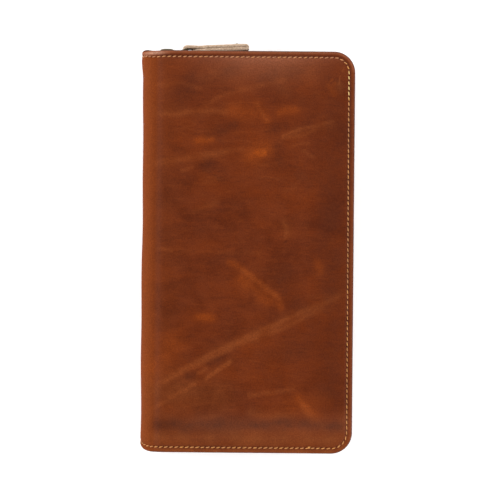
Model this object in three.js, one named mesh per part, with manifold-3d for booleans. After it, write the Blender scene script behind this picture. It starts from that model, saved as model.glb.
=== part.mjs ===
// Long zip-around wallet: two leather covers joined by a round spine, a zip round the three
// other sides, card pockets inside each cover, and a zipped coin pocket between them on gussets.
//
// Millimetres. +X runs from the spine to the open long side, +Y along the spine to the end where
// the zip's slider is parked, +Z from the back cover up to the front cover. The origin is the
// middle of the back cover's outer face. The wallet is shut and lies on its back cover.
import * as THREE from "three";
import { mergeVertices } from "three/addons/utils/BufferGeometryUtils.js";
import Module from "manifold-3d";

const wasm = await Module();
wasm.setup();

// ---- Driving dimensions ----
const WIDTH = 106; // across the spine
const LENGTH = 200; // along the spine
const THICK = 26; // over both covers
const CORNER = 10.5; // radius of the two corners away from the spine
const MID = THICK / 2; // height of the zip's centre line and of the hinge axis
const SPINE_X = -WIDTH / 2; // outermost line of the spine
const SPINE_END = SPINE_X + MID; // where the round spine runs into the flat covers
const CLEAR = 0.1; // gap between stacked layers

// Layers of a cover, as depths from its outer face
const SKIN = [0, 1.3];
const TAPE_FLANGE = [1.4, 1.9];
const FACING = [2.0, 2.9];
const BOARD = [1.4, 2.2];
const LINING = [2.3, 2.8];
const CARD_PANEL = [2.9, 3.3];
const POCKET_THICK = 0.4;

// Insets from the outline
const STITCH_INSET = 3;
const THREAD = 0.6;
const GROOVE = { width: 0.9, depth: 0.4 };
const FACING_WIDTH = 3.9;
const WEB = { inset: 4.2, thick: 0.5 }; // the zip tape's upright part

// Main zip
const TOOTH = { pitch: 3, along: 1.4, across: 2.2, root: 2.3, tip: 0.7 };
const BEAD = { root: 2.9, tip: 1.9, across: 2.6 };
const TAPE_EDGE = 3.0; // distance of each tape's edge from MID
const TEETH_START_X = -35;
const TEETH_END_X = -44.5;
const TAPE_TAIL_X = -48;
const TAPE_TAIL_DEPTH = 5.6;

// Card pockets and banknote space
const PANEL = { x0: -38, x1: 44, halfY: 92.5 };
const POCKETS = { rows: 4, firstMouth: 42, step: 12, depth: 50, halfY: 91.5 };
const GUSSET = { x0: -36, x1: 28, outerY: 92.3, depth: 22, thick: 0.5 };

// Coin pocket
const COIN = { x0: -42, x1: 28.5, halfY: 92.3, wall: 0.5, half: 3 };
const COIN_ZIP = { plane: 31, web: 0.5, flange: 0.4, flangeX: 24, halfY: 88 };
const COIN_TOOTH = { pitch: 2.8, along: 1.3, across: 1.7, root: 1.6, tip: 0.4 };
const COIN_BEAD = { root: 1.9, tip: 1.3, across: 2 };

// Sliders, in a frame of their own: +X towards the tail, +Y away from the wallet, +Z across
const SLIDER = {
  nose: 5.5, tail: 5.5, half: 4.3, tailHalf: 3.4, innerHalf: 4.3,
  channel: 1.55, plate: 1.1, post: 1.0, bailHeight: 3.8, bailHalf: 1.2, bailWall: 0.8, bar: 0.6,
};
const COIN_SLIDER = {
  nose: 4, tail: 4, half: 3.2, tailHalf: 2.6, innerHalf: 2.9,
  channel: 1.2, plate: 0.8, post: 0.5, bailHeight: 2.6, bailHalf: 0.9, bailWall: 0.6, bar: 0.45,
};
const SLIDER_X = -41; // parked next to the spine
const COIN_SLIDER_Y = 78;
const LINK = { length: 10, innerHalf: 4.5 };
const LINK_TILT = 5; // degrees, the strap holds the link a little off the slider's tail
const STRAP = { length: 31.5, half: 5.5, neckHalf: 4.2, neck: 7.5, thick: 2.8, eye: 2.1, hole: 0.8 };
const STRAP_TILT = 2; // degrees, the strap lies along the wallet's edge
const RIVET = { at: 25, post: 0.8, hole: 1, cap: 1.6, capHeight: 0.4 };
const TAB = { length: 11.5, half: 2.2, thick: 1.1, start: 3.7 };

// ---- Materials ----
const finish = (color, roughness, metalness = 0) =>
  new THREE.MeshStandardMaterial({ color, roughness, metalness });
const LEATHER = finish(0x7a3a1a, 0.45);
const INNER_LEATHER = finish(0x6b3418, 0.55);
const LINING_CLOTH = finish(0x4a2d1c, 0.9);
const CARD_BOARD = finish(0xb79b76, 0.9);
const TAPE_CLOTH = finish(0x3a2417, 0.9);
const BRASS = finish(0x8a713f, 0.35, 1);
const THREAD_GOLD = finish(0xd8973c, 0.6);
const RAW_STRAP = finish(0xa9764a, 0.6);

// ---- Solids ----
function toSolid(geometry) {
  const bare = geometry.index ? geometry.toNonIndexed() : geometry.clone();
  bare.deleteAttribute("normal");
  bare.deleteAttribute("uv");
  const merged = mergeVertices(bare, 1e-4);
  return new wasm.Manifold(
    new wasm.Mesh({
      numProp: 3,
      vertProperties: new Float32Array(merged.attributes.position.array),
      triVerts: new Uint32Array(merged.index.array),
    }),
  );
}

function toGeometry(solid) {
  const mesh = solid.getMesh();
  const positions = new Float32Array(mesh.numVert * 3);
  for (let i = 0; i < mesh.numVert; i++) {
    positions.set(mesh.vertProperties.subarray(i * mesh.numProp, i * mesh.numProp + 3), i * 3);
  }
  return new THREE.BufferGeometry()
    .setAttribute("position", new THREE.BufferAttribute(positions, 3))
    .setIndex(new THREE.BufferAttribute(new Uint32Array(mesh.triVerts), 1));
}

const join = (geometries) => toGeometry(geometries.map(toSolid).reduce((a, b) => a.add(b)));
const cut = (body, tool) => toGeometry(toSolid(body).subtract(toSolid(tool)));
const common = (a, b) => toGeometry(toSolid(a).intersect(toSolid(b)));

// A box given by its two corners.
function box(x0, y0, z0, x1, y1, z1) {
  return new THREE.BoxGeometry(x1 - x0, y1 - y0, z1 - z0).translate(
    (x0 + x1) / 2,
    (y0 + y1) / 2,
    (z0 + z1) / 2,
  );
}

// A flat shape extruded upwards from z0 to z1, in either order.
function slab(shape, z0, z1, curveSegments = 6) {
  const depth = Math.abs(z1 - z0);
  return new THREE.ExtrudeGeometry(shape, { depth, bevelEnabled: false, curveSegments }).translate(
    0,
    0,
    Math.min(z0, z1),
  );
}

// Points round the outline at an inset, from the spine side's foot, round both corners, to its head.
function outline(inset, xStart) {
  const halfY = LENGTH / 2 - inset;
  const right = WIDTH / 2 - inset;
  const r = Math.max(CORNER - inset, 0.3);
  const path = new THREE.Path();
  path.moveTo(xStart, -halfY);
  path.lineTo(right - r, -halfY);
  path.absarc(right - r, -halfY + r, r, -Math.PI / 2, 0, false);
  path.lineTo(right, halfY - r);
  path.absarc(right - r, halfY - r, r, 0, Math.PI / 2, false);
  path.lineTo(xStart, halfY);
  return path.getPoints(6);
}

// The whole cover outline at an inset, and a U-shaped band between two insets.
const plateShape = (inset, xStart) => new THREE.Shape(outline(inset, xStart));
const bandShape = (outer, inner, xStart) =>
  new THREE.Shape([...outline(outer, xStart), ...outline(inner, xStart).reverse()]);

// ---- Parts ----
const wallet = new THREE.Group();

function add(name, geometry, material, group = wallet) {
  const mesh = new THREE.Mesh(geometry, material);
  mesh.name = name;
  group.add(mesh);
}

// Each cover is built from depths below its outer face; the front one is the back one turned over.
const COVERS = { back: (depth) => depth, front: (depth) => THICK - depth };
const COVER_START = SPINE_END + CLEAR;

function coverShell(side, z) {
  const groove = slab(
    bandShape(STITCH_INSET - GROOVE.width / 2, STITCH_INSET + GROOVE.width / 2, COVER_START - 1),
    z(-1),
    z(GROOVE.depth),
  );
  const skin = cut(slab(plateShape(0, COVER_START), z(SKIN[0]), z(SKIN[1])), groove);
  const thread = bandShape(STITCH_INSET - THREAD / 2, STITCH_INSET + THREAD / 2, COVER_START);
  add(`${side}_cover_leather`, skin, LEATHER);
  add(`${side}_cover_stitching`, slab(thread, z(0.05), z(0.35)), THREAD_GOLD);
  const facing = slab(bandShape(0.2, FACING_WIDTH, COVER_START), z(FACING[0]), z(FACING[1]));
  add(`${side}_edge_facing`, facing, LEATHER);
  const board = slab(plateShape(5.2, COVER_START + 2), z(BOARD[0]), z(BOARD[1]));
  add(`${side}_cover_board`, board, CARD_BOARD);
  const lining = slab(plateShape(4.9, COVER_START), z(LINING[0]), z(LINING[1]));
  add(`${side}_cover_lining`, lining, LINING_CLOTH);
}

// The tape is sewn flat between skin and facing, then turns up towards the other cover.
// Its two tails run on past the teeth into the round spine.
function zipTape(side, z) {
  const inner = WEB.inset + WEB.thick;
  const parts = [
    slab(bandShape(0.9, inner, COVER_START), z(TAPE_FLANGE[0]), z(TAPE_FLANGE[1])),
    slab(bandShape(WEB.inset, inner, COVER_START), z(TAPE_FLANGE[0]), z(MID - TAPE_EDGE)),
  ];
  for (const end of [-1, 1]) {
    const ys = [end * (LENGTH / 2 - WEB.inset), end * (LENGTH / 2 - inner)].sort((a, b) => a - b);
    const zs = [z(TAPE_TAIL_DEPTH), z(MID - TAPE_EDGE)].sort((a, b) => a - b);
    parts.push(box(TAPE_TAIL_X, ys[0], zs[0], COVER_START + 1, ys[1], zs[1]));
  }
  add(`${side}_zip_tape`, join(parts), TAPE_CLOTH);
}

// The zip's centre line in plan: straight, corner, straight, corner, straight.
const ZIP_INSET = WEB.inset + WEB.thick / 2;
const ZIP_RADIUS = CORNER - ZIP_INSET;
const ZIP_Y = LENGTH / 2 - ZIP_INSET;
const ZIP_X = WIDTH / 2 - ZIP_INSET;
const ZIP_LEGS = [
  ZIP_X - ZIP_RADIUS - TEETH_START_X,
  (Math.PI / 2) * ZIP_RADIUS,
  2 * (ZIP_Y - ZIP_RADIUS),
  (Math.PI / 2) * ZIP_RADIUS,
  ZIP_X - ZIP_RADIUS - TEETH_END_X,
];
const ZIP_LENGTH = ZIP_LEGS.reduce((a, b) => a + b);

// Place and heading at a distance along the zip from its head next to the spine.
function alongZip(distance) {
  const [top, arc, side] = ZIP_LEGS;
  const cornerX = ZIP_X - ZIP_RADIUS;
  const cornerY = ZIP_Y - ZIP_RADIUS;
  let s = distance;
  if (s < top) return { x: TEETH_START_X + s, y: ZIP_Y, angle: 0 };
  s -= top;
  if (s < arc) {
    const a = s / ZIP_RADIUS;
    return {
      x: cornerX + ZIP_RADIUS * Math.sin(a),
      y: cornerY + ZIP_RADIUS * Math.cos(a),
      angle: -a,
    };
  }
  s -= arc;
  if (s < side) return { x: ZIP_X, y: cornerY - s, angle: -Math.PI / 2 };
  s -= side;
  if (s < arc) {
    const a = s / ZIP_RADIUS;
    return {
      x: cornerX + ZIP_RADIUS * Math.cos(a),
      y: -cornerY - ZIP_RADIUS * Math.sin(a),
      angle: -Math.PI / 2 - a,
    };
  }
  return { x: cornerX - (s - arc), y: -ZIP_Y, angle: -Math.PI };
}

function mainTeeth(side, z, phase) {
  const bead = bandShape(ZIP_INSET - BEAD.across / 2, ZIP_INSET + BEAD.across / 2, TEETH_START_X);
  let row = toSolid(slab(bead, z(MID - BEAD.root), z(MID - BEAD.tip)));
  const zs = [z(MID - TOOTH.root), z(MID - TOOTH.tip)].sort((a, b) => a - b);
  const count = Math.floor((ZIP_LENGTH - TEETH_START_X + TEETH_END_X) / TOOTH.pitch);
  for (let i = 0; i < count; i++) {
    const p = alongZip((i + 0.5 + phase) * TOOTH.pitch);
    const tooth = new THREE.BoxGeometry(TOOTH.along, TOOTH.across, zs[1] - zs[0])
      .rotateZ(p.angle)
      .translate(p.x, p.y, (zs[0] + zs[1]) / 2);
    row = row.add(toSolid(tooth));
  }
  add(`${side}_zip_teeth`, toGeometry(row), BRASS);
}

// Small crimps at the head of each row, and one block that ends the zip at its foot.
function mainStops() {
  for (const [side, z] of Object.entries(COVERS)) {
    const zs = [z(MID - BEAD.root), z(MID - 1.4)].sort((a, b) => a - b);
    add(`${side}_top_stop`, box(-48.6, ZIP_Y - 1.1, zs[0], -47, ZIP_Y + 1.1, zs[1]), BRASS);
  }
  add("zip_bottom_stop", box(-48, -ZIP_Y - 1.3, MID - 2.9, -45.4, -ZIP_Y + 1.3, MID + 2.9), BRASS);
}

function arcShellShape(outer, inner) {
  const shape = new THREE.Shape();
  shape.absarc(SPINE_END, MID, outer, Math.PI / 2, (3 * Math.PI) / 2, false);
  shape.absarc(SPINE_END, MID, inner, (3 * Math.PI) / 2, Math.PI / 2, true);
  return shape;
}

// A profile drawn in X and Z, extruded along Y over the given half length.
function alongSpine(shape, halfY, curveSegments = 12) {
  return slab(shape, -halfY, halfY, curveSegments).rotateX(Math.PI / 2);
}

function spine() {
  add("spine_leather", alongSpine(arcShellShape(MID, MID - SKIN[1]), LENGTH / 2), LEATHER);
  add("spine_lining", alongSpine(arcShellShape(MID - 1.5, MID - 2.1), LENGTH / 2 - 5), LINING_CLOTH);
}

// Card pockets step back from the open side, each one over the last.
function cardPockets(side, z) {
  const panel = [PANEL.x0, PANEL.x1, PANEL.halfY];
  const plate = (x0, x1, halfY, d0, d1) => {
    const zs = [z(d0), z(d1)].sort((a, b) => a - b);
    return box(x0, -halfY, zs[0], x1, halfY, zs[1]);
  };
  add(`${side}_card_panel`, plate(...panel, CARD_PANEL[0], CARD_PANEL[1]), INNER_LEATHER);
  for (let row = 0; row < POCKETS.rows; row++) {
    const mouth = POCKETS.firstMouth - row * POCKETS.step;
    const foot = Math.max(mouth - POCKETS.depth, PANEL.x0);
    const depth = CARD_PANEL[1] + CLEAR + row * (POCKET_THICK + CLEAR);
    const pocket = plate(foot, mouth, POCKETS.halfY, depth, depth + POCKET_THICK);
    add(`${side}_card_pocket_${row + 1}`, pocket, INNER_LEATHER);
  }
}

const POCKET_TOP = CARD_PANEL[1] + POCKETS.rows * (POCKET_THICK + CLEAR);
const COIN_OUTER = MID - COIN.half; // outer face of the coin pocket's wall, as a depth

// A gusset is a V lying in each banknote space, its fold pointing into the wallet.
function gussets(side, z) {
  const near = POCKET_TOP + 0.15;
  const far = COIN_OUTER - COIN_ZIP.flange - CLEAR - 0.15;
  const fold = (near + far) / 2;
  const apex = GUSSET.outerY - GUSSET.depth;
  const slope = GUSSET.depth / (fold - near);
  const inset = GUSSET.thick * slope;
  for (const [name, end] of [["top", 1], ["bottom", -1]]) {
    // Drawn in Y and Z, then turned to run along X.
    const points = [
      [GUSSET.outerY, near],
      [GUSSET.outerY, near + GUSSET.thick],
      [Math.min(apex + inset, GUSSET.outerY - 1), fold],
      [GUSSET.outerY, far - GUSSET.thick],
      [GUSSET.outerY, far],
      [apex, fold],
    ].map(([y, depth]) => new THREE.Vector2(end * y, z(depth)));
    const geometry = new THREE.ExtrudeGeometry(new THREE.Shape(points), {
      depth: GUSSET.x1 - GUSSET.x0,
      bevelEnabled: false,
    });
    // Shape X becomes Y, shape Y becomes Z, the extrusion runs along X.
    const turn = new THREE.Matrix4().makeBasis(
      new THREE.Vector3(0, 1, 0),
      new THREE.Vector3(0, 0, 1),
      new THREE.Vector3(1, 0, 0),
    );
    add(`gusset_${name}_${side}`, geometry.applyMatrix4(turn).translate(GUSSET.x0, 0, 0), INNER_LEATHER);
  }
}

// Each half of the coin pocket is a wall with a low rim at both ends and along the spine side.
function coinWall(side, z) {
  const { x0, x1, halfY, wall } = COIN;
  const span = (d0, d1) => [z(d0), z(d1)].sort((a, b) => a - b);
  const body = span(COIN_OUTER, MID - CLEAR);
  const room = span(COIN_OUTER + wall, MID + 1);
  add(
    `coin_pocket_${side}_wall`,
    cut(
      box(x0, -halfY, body[0], x1, halfY, body[1]),
      box(x0 + wall, -halfY + wall, room[0], x1 + 1, halfY - wall, room[1]),
    ),
    INNER_LEATHER,
  );
}

// The coin zip's tapes cap the pocket's mouth and leave the chain facing the open side.
function coinZip(side, z, phase) {
  const outer = COIN_OUTER - CLEAR - COIN_ZIP.flange;
  const webX = [COIN_ZIP.plane - COIN_ZIP.web / 2, COIN_ZIP.plane + COIN_ZIP.web / 2];
  const edge = MID - COIN_BEAD.root - CLEAR;
  const span = (d0, d1) => [z(d0), z(d1)].sort((a, b) => a - b);
  const flangeZ = span(outer, outer + COIN_ZIP.flange);
  const webZ = span(outer, edge);
  const halfY = COIN_ZIP.halfY;
  add(
    `coin_tape_${side}`,
    join([
      box(COIN_ZIP.flangeX, -halfY, flangeZ[0], webX[1], halfY, flangeZ[1]),
      box(webX[0], -halfY, webZ[0], webX[1], halfY, webZ[1]),
    ]),
    TAPE_CLOTH,
  );
  const beadZ = span(MID - COIN_BEAD.root, MID - COIN_BEAD.tip);
  const toothZ = span(MID - COIN_TOOTH.root, MID - COIN_TOOTH.tip);
  const top = COIN_SLIDER_Y - COIN_SLIDER.tail - 0.5;
  const foot = -COIN_ZIP.halfY + 6;
  const { plane } = COIN_ZIP;
  const beadHalf = COIN_BEAD.across / 2;
  let row = toSolid(box(plane - beadHalf, foot, beadZ[0], plane + beadHalf, top, beadZ[1]));
  const count = Math.floor((top - foot) / COIN_TOOTH.pitch) - 1;
  for (let i = 0; i < count; i++) {
    const y = foot + (i + 0.5 + phase) * COIN_TOOTH.pitch;
    const half = COIN_TOOTH.across / 2;
    const tooth = box(plane - half, y, toothZ[0], plane + half, y + COIN_TOOTH.along, toothZ[1]);
    row = row.add(toSolid(tooth));
  }
  add(`coin_teeth_${side}`, toGeometry(row), BRASS);
  const stopZ = span(MID - COIN_BEAD.root, MID - 0.8);
  add(`coin_top_stop_${side}`, box(plane - 0.9, 84, stopZ[0], plane + 0.9, 85.4, stopZ[1]), BRASS);
}

function coinBottomStop() {
  const half = COIN_BEAD.root;
  const { plane } = COIN_ZIP;
  add("coin_bottom_stop", box(plane - 1.1, -85.2, MID - half, plane + 1.1, -83.2, MID + half), BRASS);
}

// ---- Sliders and pulls ----
function sliderPlate(s, half, y0, y1) {
  const shape = new THREE.Shape();
  shape.moveTo(-s.nose + 1.2, -half);
  shape.lineTo(s.tail * 0.3, -half);
  shape.lineTo(s.tail, -Math.min(half, s.tailHalf));
  shape.lineTo(s.tail, Math.min(half, s.tailHalf));
  shape.lineTo(s.tail * 0.3, half);
  shape.lineTo(-s.nose + 1.2, half);
  shape.quadraticCurveTo(-s.nose, half, -s.nose, half - 1.6);
  shape.lineTo(-s.nose, -half + 1.6);
  shape.quadraticCurveTo(-s.nose, -half, -s.nose + 1.2, -half);
  return slab(shape, -y1, -y0, 4).rotateX(Math.PI / 2);
}

// Two plates held apart by a post that passes between the two rows of teeth. The plates turn in
// towards the back tape only: the front tape has to swing out of the channel.
function sliderBody(s) {
  const outer = [s.channel, s.channel + s.plate];
  const lip = { from: s.half - 0.8, reach: s.channel - 0.7 };
  const parts = [
    sliderPlate(s, s.half, outer[0], outer[1]),
    sliderPlate(s, s.innerHalf, -outer[1], -outer[0]),
    box(-s.nose + 1, -outer[0] - 0.1, -s.post / 2, -s.nose + 3.6, outer[0] + 0.1, s.post / 2),
    box(-s.nose + 2, outer[0] - lip.reach, -s.half, s.tail * 0.3, outer[0] + 0.1, -lip.from),
  ];
  return join(parts);
}

function sliderBail(s) {
  const base = s.channel + s.plate + 0.05;
  const half = s.nose * 0.72;
  const arch = (w, h) => {
    const path = new THREE.Shape();
    path.moveTo(-w, 0);
    path.lineTo(-w, h * 0.4);
    path.quadraticCurveTo(-w, h, -w * 0.6, h);
    path.lineTo(w * 0.6, h);
    path.quadraticCurveTo(w, h, w, h * 0.4);
    path.lineTo(w, 0);
    return path;
  };
  const body = slab(arch(half, s.bailHeight), -s.bailHalf, s.bailHalf, 4);
  const eye = slab(arch(half - s.bailWall, s.bailHeight - s.bailWall), -s.bailHalf - 1, s.bailHalf + 1, 4);
  return cut(body.translate(0, base, 0), eye.translate(0, base - 0.01, 0));
}

const barHeight = (s) => s.channel + s.plate + 0.05 + s.bailHeight - s.bailWall - s.bar - 0.4;

// A round bar along Z or X.
function bar(radius, length, x, z, lengthwise = false) {
  const geometry = new THREE.CylinderGeometry(radius, radius, length, 8);
  geometry.rotateX(Math.PI / 2);
  if (lengthwise) geometry.rotateY(Math.PI / 2);
  return geometry.translate(x, 0, z);
}

// A rectangular wire loop from the bail to the strap.
function pullLink() {
  const r = SLIDER.bar;
  const side = LINK.innerHalf + r;
  return join([
    bar(r, 2 * side + r, 0, 0),
    bar(r, 2 * side + r, LINK.length, 0),
    bar(r, LINK.length, LINK.length / 2, -side, true),
    bar(r, LINK.length, LINK.length / 2, side, true),
  ]);
}

// A leather strip folded round the link and riveted to itself: side profile by plan outline.
function pullStrap() {
  const half = STRAP.thick / 2;
  const profile = new THREE.Shape();
  profile.absarc(0, 0, STRAP.eye, Math.PI * 0.45, Math.PI * 1.55, false);
  profile.quadraticCurveTo(4, -STRAP.eye * 0.95, 7.5, -half);
  profile.lineTo(STRAP.length, -half);
  profile.lineTo(STRAP.length, half * 0.7);
  profile.quadraticCurveTo(STRAP.length, half, STRAP.length - 0.8, half);
  profile.lineTo(7.5, half);
  profile.quadraticCurveTo(4, STRAP.eye * 0.95, STRAP.eye * Math.cos(Math.PI * 0.45), STRAP.eye * 0.98);
  const eye = new THREE.Path();
  eye.absarc(0, 0, STRAP.hole, Math.PI * 0.4, Math.PI * 1.6, false);
  eye.lineTo(5.2, -0.15);
  eye.lineTo(5.2, 0.15);
  profile.holes.push(eye);
  const plan = new THREE.Shape();
  plan.moveTo(-4, -STRAP.neckHalf);
  plan.lineTo(STRAP.neck, -STRAP.neckHalf);
  plan.lineTo(STRAP.neck + 2.5, -STRAP.half);
  plan.lineTo(STRAP.length - 3.5, -STRAP.half);
  plan.quadraticCurveTo(STRAP.length, -STRAP.half, STRAP.length, -STRAP.half + 3.5);
  plan.lineTo(STRAP.length, STRAP.half - 3.5);
  plan.quadraticCurveTo(STRAP.length, STRAP.half, STRAP.length - 3.5, STRAP.half);
  plan.lineTo(STRAP.neck + 2.5, STRAP.half);
  plan.lineTo(STRAP.neck, STRAP.neckHalf);
  plan.lineTo(-4, STRAP.neckHalf);
  const body = common(slab(profile, -STRAP.half, STRAP.half, 6), slab(plan, -4, 4, 5).rotateX(Math.PI / 2));
  const hole = new THREE.CylinderGeometry(RIVET.hole, RIVET.hole, 8, 12).translate(RIVET.at, 0, 0);
  return cut(body, hole);
}

function pullRivet() {
  const top = STRAP.thick / 2 + 0.05;
  const points = [
    [0, -top - RIVET.capHeight],
    [RIVET.cap * 0.6, -top - RIVET.capHeight],
    [RIVET.cap, -top],
    [RIVET.post, -top],
    [RIVET.post, top],
    [RIVET.cap, top],
    [RIVET.cap * 0.6, top + RIVET.capHeight],
    [0, top + RIVET.capHeight],
  ].map(([r, y]) => new THREE.Vector2(r, y));
  return new THREE.LatheGeometry(points, 12).translate(RIVET.at, 0, 0);
}

// A flat metal tab whose eye turns in the coin slider's bail.
function coinPullTab() {
  const r = COIN_SLIDER.bar;
  const plate = new THREE.Shape();
  plate.moveTo(TAB.start, -TAB.half);
  plate.lineTo(TAB.length - 1.5, -TAB.half);
  plate.quadraticCurveTo(TAB.length, -TAB.half, TAB.length, 0);
  plate.quadraticCurveTo(TAB.length, TAB.half, TAB.length - 1.5, TAB.half);
  plate.lineTo(TAB.start, TAB.half);
  const side = TAB.half - r;
  const arm = TAB.start + 0.2;
  return join([
    slab(plate, -TAB.thick / 2, TAB.thick / 2, 4).rotateX(Math.PI / 2),
    bar(r, 2 * TAB.half, 0, 0),
    bar(r, arm, arm / 2, -side, true),
    bar(r, arm, arm / 2, side, true),
  ]);
}

function mainSlider() {
  const frame = new THREE.Group();
  frame.position.set(SLIDER_X, ZIP_Y, MID);
  add("slider_body", sliderBody(SLIDER), BRASS, frame);
  add("slider_bail", sliderBail(SLIDER), BRASS, frame);
  const link = new THREE.Group();
  link.position.y = barHeight(SLIDER);
  link.rotation.z = THREE.MathUtils.degToRad(LINK_TILT);
  add("pull_link", pullLink(), BRASS, link);
  const strap = new THREE.Group();
  strap.position.x = LINK.length;
  strap.rotation.z = THREE.MathUtils.degToRad(STRAP_TILT - LINK_TILT);
  add("pull_strap", pullStrap(), RAW_STRAP, strap);
  add("pull_rivet", pullRivet(), BRASS, strap);
  link.add(strap);
  frame.add(link);
  wallet.add(frame);
}

function coinSlider() {
  const frame = new THREE.Group();
  frame.position.set(COIN_ZIP.plane, COIN_SLIDER_Y, MID);
  frame.rotation.z = -Math.PI / 2;
  add("coin_slider_body", sliderBody(COIN_SLIDER), BRASS, frame);
  add("coin_slider_bail", sliderBail(COIN_SLIDER), BRASS, frame);
  const tab = new THREE.Group();
  tab.position.y = barHeight(COIN_SLIDER);
  add("coin_pull_tab", coinPullTab(), BRASS, tab);
  frame.add(tab);
  wallet.add(frame);
}

for (const [side, z] of Object.entries(COVERS)) {
  const phase = side === "front" ? 0.5 : 0;
  coverShell(side, z);
  zipTape(side, z);
  mainTeeth(side, z, phase);
  cardPockets(side, z);
  gussets(side, z);
  coinWall(side, z);
  coinZip(side, z, phase);
}
spine();
mainStops();
coinBottomStop();
mainSlider();
coinSlider();

export default wallet;
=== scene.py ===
"""A long leather wallet that zips round three sides, shown shut and lying on its back cover.

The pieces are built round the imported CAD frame. Lengths are in millimetres until a mesh is made.
"""

import math
import random

import bmesh
import bpy
import numpy as np
from mathutils import Matrix, Vector
from mathutils.kdtree import KDTree


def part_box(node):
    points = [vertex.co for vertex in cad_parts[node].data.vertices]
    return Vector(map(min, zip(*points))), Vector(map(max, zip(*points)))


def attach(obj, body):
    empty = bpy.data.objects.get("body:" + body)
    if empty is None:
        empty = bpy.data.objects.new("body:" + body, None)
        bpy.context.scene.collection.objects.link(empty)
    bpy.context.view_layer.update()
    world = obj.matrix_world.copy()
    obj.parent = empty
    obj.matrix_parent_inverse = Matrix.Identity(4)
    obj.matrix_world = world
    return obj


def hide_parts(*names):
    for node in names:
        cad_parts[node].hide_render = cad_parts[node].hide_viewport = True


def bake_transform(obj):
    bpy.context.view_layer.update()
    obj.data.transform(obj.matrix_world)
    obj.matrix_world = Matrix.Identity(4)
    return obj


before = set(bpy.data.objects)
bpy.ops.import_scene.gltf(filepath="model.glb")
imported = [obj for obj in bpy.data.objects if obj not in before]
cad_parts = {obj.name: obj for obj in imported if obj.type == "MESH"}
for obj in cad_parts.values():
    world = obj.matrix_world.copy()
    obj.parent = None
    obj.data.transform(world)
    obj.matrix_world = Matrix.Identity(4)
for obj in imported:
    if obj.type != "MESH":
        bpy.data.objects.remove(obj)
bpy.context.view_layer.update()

MM = 0.001
random.seed(7)

# ---- Sizes shared with the CAD ----
WIDTH, LENGTH, THICK = 106.0, 200.0, 26.0
MID = THICK / 2
CORNER = 10.5
FLAT = WIDTH - MID  # a cover's flat part, from its rim to the round spine
ARC = math.pi * MID
UNROLLED = 2 * FLAT + ARC  # the whole hide, from rim to rim
SPINE_END = -WIDTH / 2 + MID  # X where the covers end and the round spine starts
STITCH_INSET = 3.0
RIM_DEPTH = 2.9  # thickness of a cover's rim
SKIN = 1.3  # thickness of the hide
ZIP_INSET = 4.45
ZIP_X = WIDTH / 2 - ZIP_INSET
ZIP_Y = LENGTH / 2 - ZIP_INSET
ZIP_RADIUS = CORNER - ZIP_INSET
COVERS = ("back", "front")
# What is fixed to both covers is meant to turn between these two heights; nothing here turns it.
BEND_START = (0, 0, 3.2 * MM)
BEND_END = (0, 0, (THICK - 3.2) * MM)


# ---- Numbers ----
def smoothstep(t):
    t = min(max(t, 0.0), 1.0)
    return t * t * (3 - 2 * t)


def hill(value, centre, width):
    """1 where value is at centre, falling off to either side."""
    return np.exp(-(((value - centre) / width) ** 2))


def steps(start, end, count):
    """Evenly spaced values from start to end, both of them in."""
    return [start + (end - start) * k / count for k in range(count + 1)]


def circle(sides):
    """Evenly spaced angles round a circle."""
    return steps(0, math.tau, sides)[:-1]


def chamfered(cut):
    """The eight corners of a square from -1 to 1 whose own corners are cut off."""
    return (1, cut), (cut, 1), (-cut, 1), (-1, cut), (-1, -cut), (-cut, -1), (cut, -1), (1, -cut)


def normal_at(line, i):
    """Unit normal of a flat line of points at its point i."""
    a, b = line[max(i - 1, 0)], line[min(i + 1, len(line) - 1)]
    run = math.hypot(b[0] - a[0], b[1] - a[1])
    return -(b[1] - a[1]) / run, (b[0] - a[0]) / run


def fullness(t, ends):
    """A thread's thickness at t, from -1 to 1 along it: ends at its ends, and 1 in the middle."""
    return ends + (1 - ends) * math.sqrt(max(1 - t * t, 0))


def inwards(side):
    """The way along Z from a cover's outer face to the inside."""
    return 1 if side == "back" else -1


def height(side, depth):
    """Z at a depth below a cover's outer face."""
    return depth if side == "back" else THICK - depth


# ---- Meshes ----
def make(name, verts, faces, materials, kinds=None):
    """A smooth-shaded object from vertices in millimetres. kinds is each face's material."""
    mesh = bpy.data.meshes.new(name)
    mesh.from_pydata([Vector(v) * MM for v in verts], [], faces)
    for material in materials:
        mesh.materials.append(material)
    if kinds:
        mesh.polygons.foreach_set("material_index", kinds)
    mesh.polygons.foreach_set("use_smooth", [True] * len(mesh.polygons))
    tidy = bmesh.new()
    tidy.from_mesh(mesh)
    bmesh.ops.remove_doubles(tidy, verts=tidy.verts, dist=1e-7)
    bmesh.ops.recalc_face_normals(tidy, faces=tidy.faces)
    tidy.to_mesh(mesh)
    tidy.free()
    mesh.update()
    # The place at rest is the texture space, so a pattern stays put where the leather bends.
    rest = np.empty(3 * len(mesh.vertices), np.float32)
    mesh.vertices.foreach_get("co", rest)
    mesh.attributes.new("rest", "FLOAT_VECTOR", "POINT").data.foreach_set("vector", rest)
    obj = bpy.data.objects.new(name, mesh)
    bpy.context.collection.objects.link(obj)
    return obj


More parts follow.
